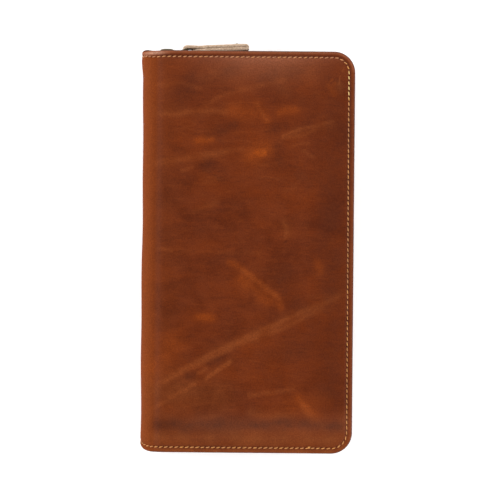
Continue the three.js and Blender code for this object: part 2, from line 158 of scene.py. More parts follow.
class Solid:
    """Collects vertices and faces of several shapes for one object."""

    def __init__(self):
        self.verts, self.faces = [], []

    def add(self, verts, faces):
        base = len(self.verts)
        self.verts += [tuple(v) for v in verts]
        self.faces += [tuple(base + i for i in face) for face in faces]

    def loft(self, rings, closed=False, caps=True):
        """Joins rings of equally many points. Each ring is a closed loop."""
        n = len(rings[0])
        verts = [v for ring in rings for v in ring]
        faces = []
        for i in range(len(rings) if closed else len(rings) - 1):
            a, b = i * n, (i + 1) % len(rings) * n
            faces += [(a + j, a + (j + 1) % n, b + (j + 1) % n, b + j) for j in range(n)]
        if caps and not closed:
            faces += [tuple(range(n)), tuple(range(len(verts) - n, len(verts)))]
        self.add(verts, faces)

    def spindle(self, surface, count, sides):
        """A rod given by its point surface(t, angle), with t from -1 to 1 along it."""
        self.loft([[surface(t, angle) for angle in circle(sides)] for t in steps(-1, 1, count)])

    def take(self, made, moved=tuple):
        """Takes over a bmesh, each vertex moved."""
        made.verts.index_update()
        self.add([moved(v.co) for v in made.verts], [[v.index for v in f.verts] for f in made.faces])
        made.free()

    def make(self, name, *materials, kinds=None):
        return make(name, self.verts, self.faces, materials, kinds)


def round_edges(made, edges, radius, segments=3):
    bmesh.ops.bevel(made, geom=edges, offset=radius, segments=segments, profile=0.5, affect="EDGES")


def stand_in(obj, slot, body, *nodes):
    """Hides the CAD nodes that a piece stands for, and fixes the piece to the body that it rides on; slot,
    its finish, is not used.
    """
    if nodes:
        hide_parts(*nodes)
    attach(obj, body)


def bend_with_covers(obj, slot, *nodes, start=BEND_START, end=BEND_END):
    """Hides the CAD nodes that a piece fixed to both covers stands for, and bakes the piece's place into its
    mesh.
    """
    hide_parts(*nodes)
    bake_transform(obj)
    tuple(start)
    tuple(end)


# ---- The hide's outline, unrolled: s runs from the back rim round the spine to the front rim ----
SIDE_STITCHES, END_STITCHES, CORNER_STITCHES = 69, 79, 4.5
S_RUN = UNROLLED - 2 * CORNER
Y_RUN = LENGTH - 2 * CORNER
LEGS = [END_STITCHES, CORNER_STITCHES, SIDE_STITCHES, CORNER_STITCHES] * 2
ROUND = int(sum(LEGS))


def station(q):
    """Outline point and inward normal at stitch number q, from the lower back corner round."""
    q %= ROUND
    far_s, top = UNROLLED - CORNER, LENGTH / 2 - CORNER
    for leg, count in enumerate(LEGS):
        if q <= count:
            break
        q -= count
    t = q / count
    if leg % 2:
        centre = ((far_s, -top), (far_s, top), (CORNER, top), (CORNER, -top))[leg // 2]
        angle = -math.pi / 2 + (leg // 2 + t) * math.pi / 2
        out = (math.cos(angle), math.sin(angle))
        return (centre[0] + CORNER * out[0], centre[1] + CORNER * out[1]), (-out[0], -out[1])
    if leg == 0:
        return (CORNER + t * S_RUN, -LENGTH / 2), (0, 1)
    if leg == 2:
        return (UNROLLED, -top + t * Y_RUN), (-1, 0)
    if leg == 4:
        return (far_s - t * S_RUN, LENGTH / 2), (0, -1)
    return (0.0, top - t * Y_RUN), (1, 0)


def into_spine(s):
    """Distance in from where the round spine starts, along the hide. It is negative on the covers."""
    return ARC / 2 - abs(s - UNROLLED / 2)


def spine_share(s):
    """1 on the round spine, falling to 0 on the flat covers."""
    return smoothstep(0.5 + into_spine(s) / 8)


def place(s, y, depth):
    """A point of the hide in the row frame, depth below its outer face."""
    turn = min(max((s - FLAT) / MID, 0.0), math.pi)
    radius = MID - depth
    x = SPINE_END - radius * math.sin(turn)
    z = MID - radius * math.cos(turn)
    if s < FLAT:
        x += FLAT - s
    elif s > FLAT + ARC:
        x += s - FLAT - ARC
    # The spine's ends: drawn in at the foot, and standing up in a small ear at the head.
    u = min(max((-46.5 - x) / 6.5, 0.0), 1.0)
    foot = 3.0 * (1 - math.sqrt(1 - 0.985 * u * u)) * smoothstep((-y - 82) / 18)
    ear = 0.6 * hill(max(x, -50.6), -50.6, 1.9) - 0.2 * hill(x, -45.3, 2.6)
    ear *= smoothstep((y - 91) / 9) * smoothstep((z - MID + 9) / 8)
    # The spine waves a little, is softly waisted, and flares at the head.
    wave = 0.16 * math.sin(y / 17 + 0.6) + 0.12 * math.sin(y / 7.3)
    waist = wave * spine_share(s) + 0.2 * abs(math.sin(y / 33)) - 0.9 * smoothstep((y - 86) / 10)
    return x + waist * math.sin(turn), y + foot + ear, z


def swell(s, y):
    """The covers' soft unevenness, in depth."""
    waves = math.sin(s / 19 + 1.1) * math.sin(y / 27 + 0.4) + 0.6 * math.sin(s / 9.5 + y / 13)
    return (1 - spine_share(s)) * 0.1 * waves


def hide_sheet(name, rings, material, grid, depth_at, dent=None):
    """A closed sheet of the hide's shape. rings are (inset, depth) from the middle of its inner
    face, round its edge, to the middle of its outer face. grid is how many quads lie along an end,
    along a side and round a corner."""
    ends, sides, arcs = grid
    stations = []
    for leg, count in enumerate(LEGS):
        start = sum(LEGS[:leg])
        stations += steps(start, start + count, (ends, arcs, sides, arcs)[leg % 4])[:-1]
    loops = []
    for inset, depth in rings:
        loop = []
        for q in stations:
            (s, y), (ns, ny) = station(q)
            s, y = s + ns * inset, y + ny * inset
            loop.append(place(s, y, depth_at(s, y, depth) + (dent(q, inset, depth) if dent else 0)))
        loops.append(loop)
    solid = Solid()
    solid.loft(loops, caps=False)
    s_lines = [CORNER + S_RUN * i / ends for i in range(ends + 1)]
    y_lines = [-LENGTH / 2 + CORNER + Y_RUN * j / sides for j in range(sides + 1)]
    n = len(y_lines)
    corners = [i * n + j for i in range(ends) for j in range(sides)]
    for depth in (rings[0][1], rings[-1][1]):
        verts = [place(s, y, depth_at(s, y, depth)) for s in s_lines for y in y_lines]
        solid.add(verts, [(c, c + n, c + n + 1, c + 1) for c in corners])
    return solid.make(name, material)


# ---- Materials ----
def srgb(*levels):
    """A colour given as 0 to 255, in linear light, with alpha."""
    shares = [level / 255 for level in levels]
    return (*[c / 12.92 if c <= 0.04045 else ((c + 0.055) / 1.055) ** 2.4 for c in shares], 1.0)


class Shader:
    """A principled material with short calls for the nodes it needs."""

    def __init__(self, name, on_cad=False, **constants):
        self.material = bpy.data.materials.new(name)
        self.material.use_nodes = True
        self.tree = self.material.node_tree
        self.out = self.tree.nodes["Principled BSDF"].inputs
        for socket, value in constants.items():
            self.out[socket.replace("_", " ")].default_value = value
        if on_cad:  # a CAD mesh has no place at rest of its own
            self.place = self.node("ShaderNodeTexCoord").outputs["Object"]
        else:
            self.place = self.attribute("rest", "Vector")

    def node(self, kind, inputs=(), **settings):
        made = self.tree.nodes.new(kind)
        for key, value in settings.items():
            setattr(made, key, value)
        for key, value in dict(inputs).items():
            self.feed(made.inputs[key], value)
        return made

    def feed(self, socket, value):
        if isinstance(value, bpy.types.NodeSocket):
            self.tree.links.new(value, socket)
        else:
            socket.default_value = value

    def set(self, socket, value):
        self.feed(self.out[socket], value)

    def math(self, operation, a, b=0.0, clamp=False):
        return self.node("ShaderNodeMath", {0: a, 1: b}, operation=operation, use_clamp=clamp).outputs[0]

    def vector(self, operation, a, b=(0, 0, 0), output="Vector"):
        return self.node("ShaderNodeVectorMath", {0: a, 1: b}, operation=operation).outputs[output]

    def times(self, vector, scale):
        """A vector multiplied by a number."""
        return self.node("ShaderNodeVectorMath", {0: vector, "Scale": scale}, operation="SCALE").outputs[0]

    def scaled(self, scale, turn=(0, 0, 0)):
        """The texture space, stretched and turned."""
        inputs = {"Vector": self.place, "Scale": scale, "Rotation": turn}
        return self.node("ShaderNodeMapping", inputs).outputs[0]

    def noise(self, scale, detail=3.0, roughness=0.5, source=None, distortion=0.0, output=0):
        inputs = {"Vector": source or self.place, "Scale": scale, "Detail": detail}
        inputs |= {"Roughness": roughness, "Distortion": distortion}
        return self.node("ShaderNodeTexNoise", inputs).outputs[output]

    def span(self, value, low, high, to_low=0.0, to_high=1.0, curve="SMOOTHSTEP"):
        """Maps low to high on to to_low to to_high, and stops at both."""
        inputs = {0: value, 1: low, 2: high, 3: to_low, 4: to_high}
        return self.node("ShaderNodeMapRange", inputs, interpolation_type=curve).outputs[0]

    def mix(self, share, a, b):
        return self.node("ShaderNodeMix", {0: share, 6: a, 7: b}, data_type="RGBA").outputs[2]

    def bump(self, height, distance, strength=1.0, under=None):
        inputs = {"Height": height, "Distance": distance, "Strength": strength}
        if under is not None:
            inputs["Normal"] = under
        return self.node("ShaderNodeBump", inputs).outputs[0]

    def stroke(self, points_mm, source):
        """Distance in metres from source to a line of points, in plan."""
        nearest = None
        for a, b in zip(points_mm, points_mm[1:]):
            a, b = Vector((*a, 0)) * MM, Vector((*b, 0)) * MM
            from_a = self.vector("SUBTRACT", source, tuple(a))
            along = self.vector("DOT_PRODUCT", from_a, tuple(b - a), output="Value")
            share = self.math("MULTIPLY", along, 1 / (b - a).length_squared, clamp=True)
            off = self.vector("SUBTRACT", from_a, self.times(tuple(b - a), share))
            away = self.vector("LENGTH", off, output="Value")
            nearest = away if nearest is None else self.math("MINIMUM", nearest, away)
        return nearest

    def attribute(self, name, output="Fac"):
        return self.node("ShaderNodeAttribute", attribute_name=name).outputs[output]

    def painted(self, color, layer, tint, border=1.0):
        """A colour with a painted layer's tint over it. border makes the layer's edge ragged."""
        share = self.math("MULTIPLY", self.attribute(layer), border, clamp=True)
        return self.mix(share, color, tint)


# Crisp creases on the front cover: points in millimetres from its middle, half width, strength.
CREASES = [
    ([(-43.5, -66), (-35, -60.5), (-15.5, -49.5), (4.5, -40.5), (24, -31.5), (45, -22)], 1.7, 0.36),
    ([(-40, -64.5), (-20.5, -54.5), (-0.5, -44.5), (19, -37.5), (37.5, -27.5)], 1.7, 0.34),
    ([(-19.5, -63), (-14, -59), (-8, -55)], 1.6, 0.5),
    ([(-24, -60.5), (-19.5, -58)], 1.4, 0.42),
    ([(-37.5, -72.5), (-30.5, -69), (-24, -64.5)], 1.7, 0.42),
    ([(-47.5, -78.5), (-40.5, -75)], 1.5, 0.4),
    ([(26.5, -73), (28.5, -76)], 1.6, 0.18),
    ([(29, -76.5), (33, -82.5), (40, -87.5)], 2.5, 0.34),
    ([(6.5, 49.5), (7.5, 50)], 2.2, 0.5),
    ([(2, -71), (12, -70), (23, -68)], 1.9, 0.28),
    ([(-46, 82.5), (-34, 83.5), (-24, 81)], 1.6, 0.3),
    ([(-21.5, 73), (-11.5, 78), (-2, 81), (8, 83), (17.5, 86)], 2.0, 0.26),
    ([(-47.5, 68.5), (-36.5, 68), (-24, 70), (-11, 69.5)], 1.9, 0.36),
    ([(4, 73.5), (6.5, 69.5), (9, 65.5)], 1.4, 0.32),
    ([(17.5, 58), (25.5, 61), (35.5, 63.5), (42.5, 65)], 1.4, 0.34),
    ([(17.5, 56.5), (26, 58), (33, 60.5)], 1.4, 0.32),
    ([(22, 53), (30, 54.5)], 1.3, 0.2),
    ([(-47, 43), (-36, 45), (-16.5, 49), (-3, 51)], 2.0, 0.24),
    ([(-32.5, 40), (-27.5, 41.5)], 1.4, 0.3),
    ([(27.5, 50), (33, 47)], 1.3, 0.26),
    ([(-2, -9), (4.5, -14), (10.5, -18.5), (16, -23)], 2.0, 0.36),
    ([(45.5, 87.5), (45, 83.5)], 0.59, 0.5),
    ([(47, 92.5), (46.5, 90)], 0.59, 0.5),
    ([(18, 15), (19.5, 11), (19, 7)], 1.4, 0.22),
    ([(-44.5, 1.5), (-37.5, 0.5)], 1.4, 0.32),
    ([(-37.5, 0.5), (6.5, -0.5)], 1.6, 0.12),
]
CREASE_REACH = 1.25  # where a crease has faded out, in half widths


def worn(m, color, border):
    """The cover's wear and its painted light, in the order laid on: pull-up marks with a painted highlight
    on the edge's crest, creases, the spine's pale bend with painted light on it, rubbed marks, wax marks
    with painted shade in the stitch groove, a painted sheen, a painted highlight on the spine's ear, and the
    dark edge paint with painted shade round the needle holes.
    """
    # Pull-up marks, with a painted highlight along the turned edge's crest.
    color = m.painted(color, "pulled_and_crest_highlight", srgb(143, 73, 31), border)
    wobble = m.vector("SUBTRACT", m.noise(170, 3, output=1), (0.5, 0.5, 0.5))
    plan = m.vector("ADD", m.vector("MULTIPLY", m.place, (1, 1, 0)),
                    m.vector("MULTIPLY", wobble, (0.0022, 0.0022, 0)))
    patchy = m.span(m.noise(130, 3), 0.3, 0.6, 0.5, 0.95)
    broken = m.math("MULTIPLY", patchy, m.span(m.noise(900, 2), 0.3, 0.7, 0.6, 1.3))
    on_front = m.math("MULTIPLY", m.attribute("front"), broken)
    for points, half, strength in CREASES:
        crisp = m.span(m.stroke(points, plan), CREASE_REACH * half * MM, 0.0)
        crisp = m.math("MULTIPLY", crisp, m.math("MULTIPLY", on_front, strength))
        color = m.mix(crisp, color, srgb(162, 82, 36))
    # The spine's pale bend with painted light on it, rubbed marks, wax marks with painted shade in the
    # stitch groove, a painted sheen, and a painted highlight on the spine's ear.
    for layer, tint, edge in (
        ("bent_and_lit_spine", srgb(138, 65, 22), 1.0), ("rubbed", srgb(182, 82, 16), border),
        ("waxed_and_groove_shade", srgb(68, 28, 13), border), ("painted_sheen", srgb(182, 110, 78), 1.0),
        ("ear", srgb(240, 190, 160), 1.0),
    ):
        color = m.painted(color, layer, tint, edge)
    # The dark edge paint, with painted shade round the needle holes.
    return m.mix(m.span(m.attribute("rim"), 0.0, 1.0, 0, 0.85), color, srgb(59, 24, 10))


def cover_leather(name, outside=False):
    """Waxed pull-up leather: brown wax over tan. The outside of the covers has marks and wear, with painted
    highlights, a painted sheen and painted shade laid over them.
    """
    m = Shader(name, Specular_IOR_Level=0.12)
    clouds = m.noise(24, 4, 0.55, distortion=0.6)
    drift = m.noise(1.0, 4, 0.6, m.scaled((46, 96, 60), (0, 0, 0.35)), 0.4)
    blotch = m.noise(130, 5, 0.62)
    streaks = m.noise(1.0, 4, 0.65, m.scaled((110, 620, 380), (0, 0, 0.12)), 0.6)
    speck = m.noise(1500, 2, 0.6)
    color = m.mix(m.span(clouds, 0.36, 0.66), srgb(93, 36, 11), srgb(116, 47, 12))
    for source, low, high, share, tint in (
        (drift, 0.4, 0.72, 0.6, srgb(133, 56, 16)), (drift, 0.42, 0.25, 0.55, srgb(80, 31, 13)),
        (blotch, 0.35, 0.7, 0.4, srgb(122, 53, 19)),
        (streaks, 0.52, 0.74, 0.34, srgb(72, 27, 10)), (streaks, 0.46, 0.3, 0.22, srgb(140, 66, 26)),
    ):
        color = m.mix(m.span(source, low, high, 0, share), color, tint)
    # Fine creases, where one level of a stretched noise is crossed.
    folds = m.noise(1.0, 3, 0.55, m.scaled((13, 66, 40), (0, 0, 0.3)), 0.25)
    line = m.span(m.math("ABSOLUTE", m.math("SUBTRACT", folds, 0.5)), 0.016, 0.0)
    creased = m.math("MULTIPLY", line, m.span(clouds, 0.5, 0.66, 0, 0.16))
    color = m.mix(creased, color, srgb(150, 78, 36))
    if outside:
        color = worn(m, color, m.span(blotch, 0.3, 0.68, 0.45, 1.25, "LINEAR"))
    color = m.mix(m.span(m.noise(620, 3, 0.7), 0.35, 0.7, 0, 0.2), color, srgb(127, 59, 23))
    m.set("Base Color", m.mix(m.span(speck, 0.3, 0.7, 0, 0.34), color, srgb(60, 21, 6)))
    gloss = m.span(blotch, 0.3, 0.7, 0.44, 0.54)
    matt = m.math("MAXIMUM", m.attribute("pulled_and_crest_highlight"), m.math("MULTIPLY", m.attribute("bent_and_lit_spine"), 2.2))
    m.set("Roughness", m.math("MAXIMUM", gloss, m.math("MULTIPLY", matt, 0.95, clamp=True)))
    pores = m.node("ShaderNodeTexVoronoi", {"Vector": m.place, "Scale": 1250}).outputs["Distance"]
    grain = m.bump(m.span(pores, 0.0, 0.5), 0.00003, 0.3)
    grain = m.bump(speck, 0.00003, 0.35, grain)
    m.set("Normal", m.bump(clouds, 0.0012, 0.12, grain))
    return m.material


def thread_material(name):
    """Twisted linen thread in tan, with painted light on it: golden along the long side and the foot, a pale
    painted highlight near the upper corner, and painted shade where each stitch dips into its holes.
    """
    m = Shader(name, Roughness=0.5, Sheen_Weight=0.15)
    ply = m.math("SINE", m.math("MULTIPLY", m.attribute("twist"), math.tau))
    shade = m.span(ply, -1, 1)
    tan = m.mix(shade, srgb(158, 92, 54), srgb(218, 150, 104))
    # Gold, and the pale colour after it, are painted light on the thread.
    gold = m.mix(shade, srgb(190, 106, 28), srgb(252, 182, 80))
    thread_glint = m.mix(shade, srgb(236, 158, 60), srgb(255, 238, 160))
    uneven = m.span(m.noise(300, 2), 0.3, 0.7, -0.12, 0.12)
    thread_light = m.math("ADD", m.attribute("thread_light"), uneven, clamp=True)
    color = m.mix(m.span(thread_light, 0, 0.6, curve="LINEAR"), tan, gold)
    color = m.mix(m.span(thread_light, 0.6, 1), color, thread_glint)
    # Painted shade towards each stitch's ends, where it dips into its holes.
    m.set("Base Color", m.mix(m.attribute("dip_shade"), color, srgb(112, 58, 22)))
    m.set("Normal", m.bump(ply, 0.00006, 0.6))
    return m.material


def cloth(name, base, light, pitch):
    """A woven tape or lining: pitch is the threads' spacing in millimetres."""
    m = Shader(name, Roughness=0.85, Sheen_Weight=0.08, Specular_IOR_Level=0.2)
    m.set("Sheen Tint", (0.6, 0.42, 0.3, 1))
    parts = m.node("ShaderNodeSeparateXYZ", {0: m.times(m.place, math.tau / (pitch * MM))}).outputs
    waves = [m.math("SINE", m.math("ADD", parts[i], parts[(i + 1) % 3])) for i in range(3)]
    weave = m.math("MULTIPLY", m.math("ADD", waves[0], waves[1]), waves[2])
    fuzz = m.noise(900, 3, 0.7)
    color = m.mix(m.span(weave, -1.2, 1.2), base, light)
    m.set("Base Color", m.mix(m.span(fuzz, 0.35, 0.7, 0, 0.5), color, base))
    m.set("Normal", m.bump(weave, 0.00008, 0.7, m.bump(fuzz, 0.00005, 0.4)))
    return m.material


def metal(name, light, dark, roughness):
    """Antique brass: bright on the rubbed heights, dark and dull in the hollows."""
    m = Shader(name, Metallic=1.0)
    tarnish = m.noise(420, 4, 0.65)
    scratch = m.noise(1.0, 3, 0.6, m.scaled((900, 5200, 2600)))
    high = m.span(m.node("ShaderNodeNewGeometry").outputs["Pointiness"], 0.46, 0.56)
    color = m.mix(m.span(tarnish, 0.35, 0.7), dark, light)
    m.set("Base Color", m.mix(m.math("MULTIPLY", high, 0.7), color, light))
    m.set("Roughness", m.span(tarnish, 0.3, 0.7, roughness + 0.16, roughness))
    m.set("Normal", m.bump(scratch, 0.00002, 0.4, m.bump(tarnish, 0.00004, 0.3)))
    return m.material


def fibrous(name, scale, dark, light, relief, stain=None, **constants):
    """Short fibres, with a stain over them given as where it starts and ends, its share and tint."""
    m = Shader(name, **constants)
    fibre = m.noise(1.0, 4, 0.7, m.scaled(scale))
    color = m.mix(m.span(fibre, 0.3, 0.7), dark, light)
    if stain:
        low, high, share, tint = stain
        color = m.mix(m.span(m.noise(260, 4, 0.6), low, high, 0, share), color, tint)
    m.set("Base Color", color)
    m.set("Normal", m.bump(fibre, *relief))
    return m.material


LEATHER = cover_leather("waxed_leather", outside=True)
STRAP_LEATHER = cover_leather("strap_leather")
INNER_LEATHER = cover_leather("inner_leather")
THREAD = thread_material("golden_thread")
TAPE = cloth("woven_tape", srgb(46, 28, 18), srgb(92, 60, 40), 0.55)
LINING = cloth("woven_lining", srgb(70, 42, 26), srgb(112, 74, 48), 0.4)
BRASS = metal("antique_brass", srgb(196, 160, 96), srgb(96, 74, 42), 0.3)
DARK_BRASS = metal("dark_brass", srgb(150, 142, 116), srgb(62, 60, 50), 0.32)
DARK_WIRE = metal("dark_wire", srgb(104, 94, 72), srgb(48, 42, 32), 0.45)
# The cut edge of vegetable-tanned leather is pale and a little dirty, and its flesh side is dark.
RAW_EDGE = fibrous(
    "raw_leather_edge", (900, 2600, 2600), srgb(190, 154, 122), srgb(248, 222, 194), (0.00012, 0.7),
    (0.52, 0.78, 0.4, srgb(170, 128, 94)), Roughness=0.8, Specular_IOR_Level=0.25,
)
FLESH_SIDE = fibrous(
    "strap_flesh", (500, 1400, 1400), srgb(58, 30, 16), srgb(92, 52, 30), (0.0001, 0.6),
    Roughness=1.0, Specular_IOR_Level=0.0,
)
BOARD = fibrous(
    "pressed_board", (600, 1500, 600), srgb(158, 132, 98), srgb(198, 172, 134), (0.00006, 0.5),
    (0.5, 0.7, 0.5, srgb(120, 96, 70)), on_cad=True, Roughness=0.9, Specular_IOR_Level=0.2,
)

# ---- Camera ----
VIEW_WIDTH = 248.3  # millimetres across the picture, at the height of the front cover
CAMERA_ABOVE = 1000.0
camera = bpy.data.objects.new("camera", bpy.data.cameras.new("camera"))
bpy.context.collection.objects.link(camera)
camera.location = (1.45 * MM, 0.95 * MM, (THICK + CAMERA_ABOVE) * MM)
camera.rotation_euler = (0, 0, math.radians(0.52))
camera.data.lens = 36 * CAMERA_ABOVE / VIEW_WIDTH
camera.data.clip_start = 0.01
bpy.context.scene.camera = camera

# ---- Cover hide ----
RIM_RINGS = [
    (CORNER, SKIN), (6.5, SKIN), (3.95, SKIN + 0.05), (3.9, 2.0), (3.86, 2.8), (3.7, 2.9), (3.0, 2.9),
    (2.1, 2.9), (1.4, 2.88), (0.85, 2.74), (0.42, 2.45), (0.12, 2.0), (0.0, 1.45), (0.12, 0.92),
    (0.42, 0.46), (0.8, 0.19), (1.25, 0.06), (1.8, 0.05), (2.3, 0.14), (2.65, 0.3), (3.0, 0.36),
    (3.35, 0.26), (3.75, 0.09), (4.3, 0.02), (5.5, 0.0), (7.6, 0.0), (CORNER, 0.0),
]


def stitch_inset(y):
    """The line of stitches wanders a little: nearer the edge at the foot than at the head."""
    return STITCH_INSET - 0.06 + 0.0026 * y


def stitch_dent(q, inset, depth):
    """Both faces of the rim are drawn in round each needle hole."""
    hole = math.cos(math.pi * q) ** 6 * hill(inset, STITCH_INSET, 0.42)
    if depth < 1:
        return 0.24 * hole
    return -0.2 * hole if depth > 2.6 else 0


def soft_depth(s, y, depth):
    return depth + swell(s, y)


hide = hide_sheet("cover_hide", RIM_RINGS, LEATHER, (158, 138, 18), soft_depth, stitch_dent)

# Marks on the front cover: points in millimetres from its middle, half width, strength.
PULLED_MARKS = [
    ([(-51, -69), (-25.5, -56), (-5.5, -45.5), (14, -36.5), (34, -27.5), (47, -21)], 2.6, 0.26),
    ([(-37.5, -72.5), (-24, -64.5), (-8, -55)], 2.0, 0.2),
    ([(46, 85), (45, 79)], 0.5, 0.55),
    ([(-47, 68.5), (-29, 69.5), (-12, 69.5)], 2.0, 0.2),
    ([(18, 57), (30, 61), (43, 64)], 1.8, 0.25),
    ([(-47, 43), (-33, 45.5), (-10, 49.5)], 2.2, 0.25),
    ([(-26, 20.5), (-16, 24.5)], 1.4, 0.24),
    ([(-22, 34.5), (-15.5, 35.5)], 1.2, 0.22),
    ([(19, 14), (21, 9)], 2.2, 0.25),
    ([(2, -79.5), (12, -81), (23, -82)], 2.0, 0.34),
    ([(-33.5, -78), (-26.5, -76)], 3.0, 0.34),
    ([(-22.5, -82.5), (-15, -81.5)], 1.8, 0.3),
    ([(-21, -84.5), (-20, -85)], 0.7, 0.5),
    ([(-20, 88), (6, 91), (30, 90)], 5.0, 0.22),
    ([(18, 88), (18.5, 80.5)], 3.6, 0.22),
    ([(-2, 89.5), (1.5, 87.5)], 1.8, 0.3),
    ([(-48, -93), (46, -93)], 4.2, 0.66),
    ([(-47, -70), (-14, -72)], 8.0, 0.44),
    ([(-48, -84), (-12, -90)], 6.0, 0.3),
    ([(46, -92), (50, -80)], 2.4, 0.35),
]
RUBBED_MARKS = [
    ([(-9.5, -6), (-2, -9), (4.5, -14), (10.5, -18.5), (16, -23), (18, -28)], 1.4, 0.34),
    ([(-2.5, -13.5), (4.5, -18), (11.5, -23)], 3.4, 0.34),
    ([(5, 49.5), (8.5, 49.5)], 1.9, 1.0),
    ([(2, 48), (9, 51)], 4.6, 0.36),
    ([(-25, 55.5), (-18, 56)], 1.7, 0.5),
    ([(15.5, 69.5), (23, 70.5)], 2.0, 0.38),
    ([(-8, 69.5), (0, 69.5)], 3.6, 0.26),
    ([(4, 73.5), (9, 65.5)], 2.2, 0.24),
    ([(-24, -32), (-17, -33)], 1.7, 0.52),
    ([(34.5, -5), (36, -9)], 2.2, 0.34),
    ([(26.5, -73), (38, -87)], 2.8, 0.3),
    ([(0, -88), (40, -72)], 4.0, 0.17),
    ([(40, 84), (43.5, 78)], 1.2, 0.43),
    ([(42, 86), (45, 80)], 0.4, 0.58),
    ([(-36, -45), (-46, -58)], 5.0, 0.22),
]
WAXED_MARKS = [
    ([(-44, -86.5), (-20, -86), (6, -85.5), (30, -85), (46, -86)], 2.8, 0.8),
    ([(-24, 43), (-19, 43.5)], 2.2, 0.46),
    ([(-20, 58), (-6.5, 62.5)], 2.4, 0.5),
    ([(11, 61), (17, 62.5)], 2.4, 0.42),
    ([(15, 53), (18, 43)], 3.2, 0.34),
    ([(-29, -61.5), (-25.5, -60.5)], 1.8, 0.5),
    ([(-18, -56), (-12, -52.5)], 1.8, 0.4),
    ([(-10.5, 89), (-5.5, 91.5)], 3.0, 0.44),
    ([(7.5, 87), (13.5, 89)], 2.6, 0.4),
    ([(-29, 86), (-35, 76)], 5.0, 0.36),
    ([(13, -8), (20, -16), (24, -24)], 5.0, 0.37),
    ([(14, 44), (30, 34), (44, 44)], 8.0, 0.24),
    ([(24, 80), (44, 66)], 7.0, 0.24),
    ([(19, 5), (19.5, 4.5)], 0.5, 0.73),
    ([(14, -52), (40, -42)], 6.0, 0.24),
    ([(-46, -87), (-40, -87.5)], 1.2, 0.61),
    ([(43, 72), (42, 10), (43, -74)], 8.0, 0.37),
    ([(40, 90), (46, 72)], 6.0, 0.37),
]


def marks_value(points, marks):
    """Strength of the soft marks at each point, an array of X and Y in millimetres."""
    total = np.zeros(len(points))
    for line, half, strength in marks:
        nearest = np.full(len(points), 1e9)
        for a, b in zip(line, line[1:]):
            a, b = np.array(a, float), np.array(b, float)
            share = np.clip(((points - a) @ (b - a)) / ((b - a) @ (b - a)), 0, 1)
            taper = 0.75 + 0.5 * np.abs(share - 0.5)
            away = np.linalg.norm(points - a - share[:, None] * (b - a), axis=1) * taper
            nearest = np.minimum(nearest, away)
        total = np.maximum(total, strength * np.exp(-((nearest / half) ** 2)))
    return total


def paint(obj, name, values):
    layer = obj.data.attributes.new(name, "FLOAT", "POINT")
    layer.data.foreach_set("value", np.asarray(values, np.float32))


def points_of(obj):
    return np.array([v.co for v in obj.data.vertices]).reshape(-1, 3) / MM


def paint_hide():
    """Paints the layers of wear, painted light and painted shade that the cover's leather reads."""
    spots = points_of(hide)
    x, y, z = spots.T
    on_front = np.clip((z - MID) / 5, 0, 1)
    wander = 0.5 * np.stack([
        1.1 * np.sin(y / 6.1) + 0.5 * np.sin(y / 2.3 + 1),
        0.9 * np.sin(x / 5.2) + 0.4 * np.sin(x / 2.1 + 2),
    ], axis=1)
    over_x = np.maximum(x - (WIDTH / 2 - CORNER), 0)
    over_y = np.maximum(np.abs(y) - (LENGTH / 2 - CORNER), 0)
    inset = CORNER - np.hypot(over_x, over_y)  # from the rim, in plan
    # A painted highlight lies along the turned edge's crest, and painted shade lies in the stitch groove.
    at_foot = np.clip((-90 - y) / 5, 0, 1)
    crest = (0.6 + 0.35 * at_foot) * hill(inset, 1.0, 0.7 + 0.5 * at_foot)
    groove = (0.6 - 0.45 * at_foot) * hill(inset, 2.5, 0.4)
    # The back cover has marks of its own: the same hide, seen at another place.
    turned = np.stack([-x * 0.8 + 6, -y], axis=1)
    # Pull-up marks take in the crest's painted highlight, and wax marks the groove's painted shade.
    for layer, marks, edge in (
        ("pulled_and_crest_highlight", PULLED_MARKS, crest), ("rubbed", RUBBED_MARKS, 0), ("waxed_and_groove_shade", WAXED_MARKS, groove),
    ):
        front = marks_value(spots[:, :2] + wander, marks) * on_front
        back = 0.8 * marks_value(turned + wander, marks) * (1 - on_front)
        paint(hide, layer, np.maximum(front + back, edge))
    # The hide is painted paler where it bends round the spine: partly the lightening of pull-up leather at a
    # bend, partly painted light for the light falling on the spine's curve from the left.
    past_bend = np.maximum(x + 51, 0)
    paint(hide, "bent_and_lit_spine", 0.6 * hill(past_bend, 0, 5) + 0.25 * hill(past_bend, 0, 16))
    # The edge's middle is dark edge paint, and painted shade darkens the leather round the needle holes.
    holes = KDTree(2 * ROUND)
    for k in range(2 * ROUND):
        (s, t), (ns, nt) = station(k // 2)
        s, t = s + ns * stitch_inset(t), t + nt * stitch_inset(t)
        holes.insert(place(s, t, (RIM_DEPTH - 0.2 if k % 2 else 0.6) + swell(s, t)), k)
    holes.balance()
    near_hole = np.array([holes.find(spot)[2] for spot in spots]) < 0.5
    paint(hide, "rim", np.maximum(np.clip((0.55 - inset) / 0.45, 0, 1), 0.4 * near_hole))
    paint(hide, "front", np.clip((z - THICK + 2) / 1.5, 0, 1))
    # A painted sheen: a pale haze at the head and a paler band near the foot, with painted highlights on the
    # spine's ear and on the upper edge's crest.
    haze = 0.36 * hill(np.hypot(x - 6, (y - 96) * 2.8), 0, 28) + 0.26 * hill(y, 96.4, 2.6) * hill(x, 12, 30)
    haze *= np.clip((inset - 2.3) / 0.7, 0.15, 1)
    band = 0.14 * hill(y, -86, 5.5) * np.clip((x + 44) / 20, 0, 1)
    ear = hill(x, -47.3, 5) * hill(y, 98.6, 0.75)
    upper_edge = np.where(y > 90, 0.4 * hill(inset, 0.9, 0.5), 0)
    # The ear's own layer is a painted highlight on the crest of the spine's ear.
    paint(hide, "ear", on_front * 0.55 * ear)
    paint(hide, "painted_sheen", on_front * np.maximum.reduce((haze, band, 0.4 * ear, upper_edge)))


paint_hide()
bend_with_covers(
    hide, "cover_leather", "back_cover_leather", "front_cover_leather", "spine_leather",
    "back_edge_facing", "front_edge_facing",
)


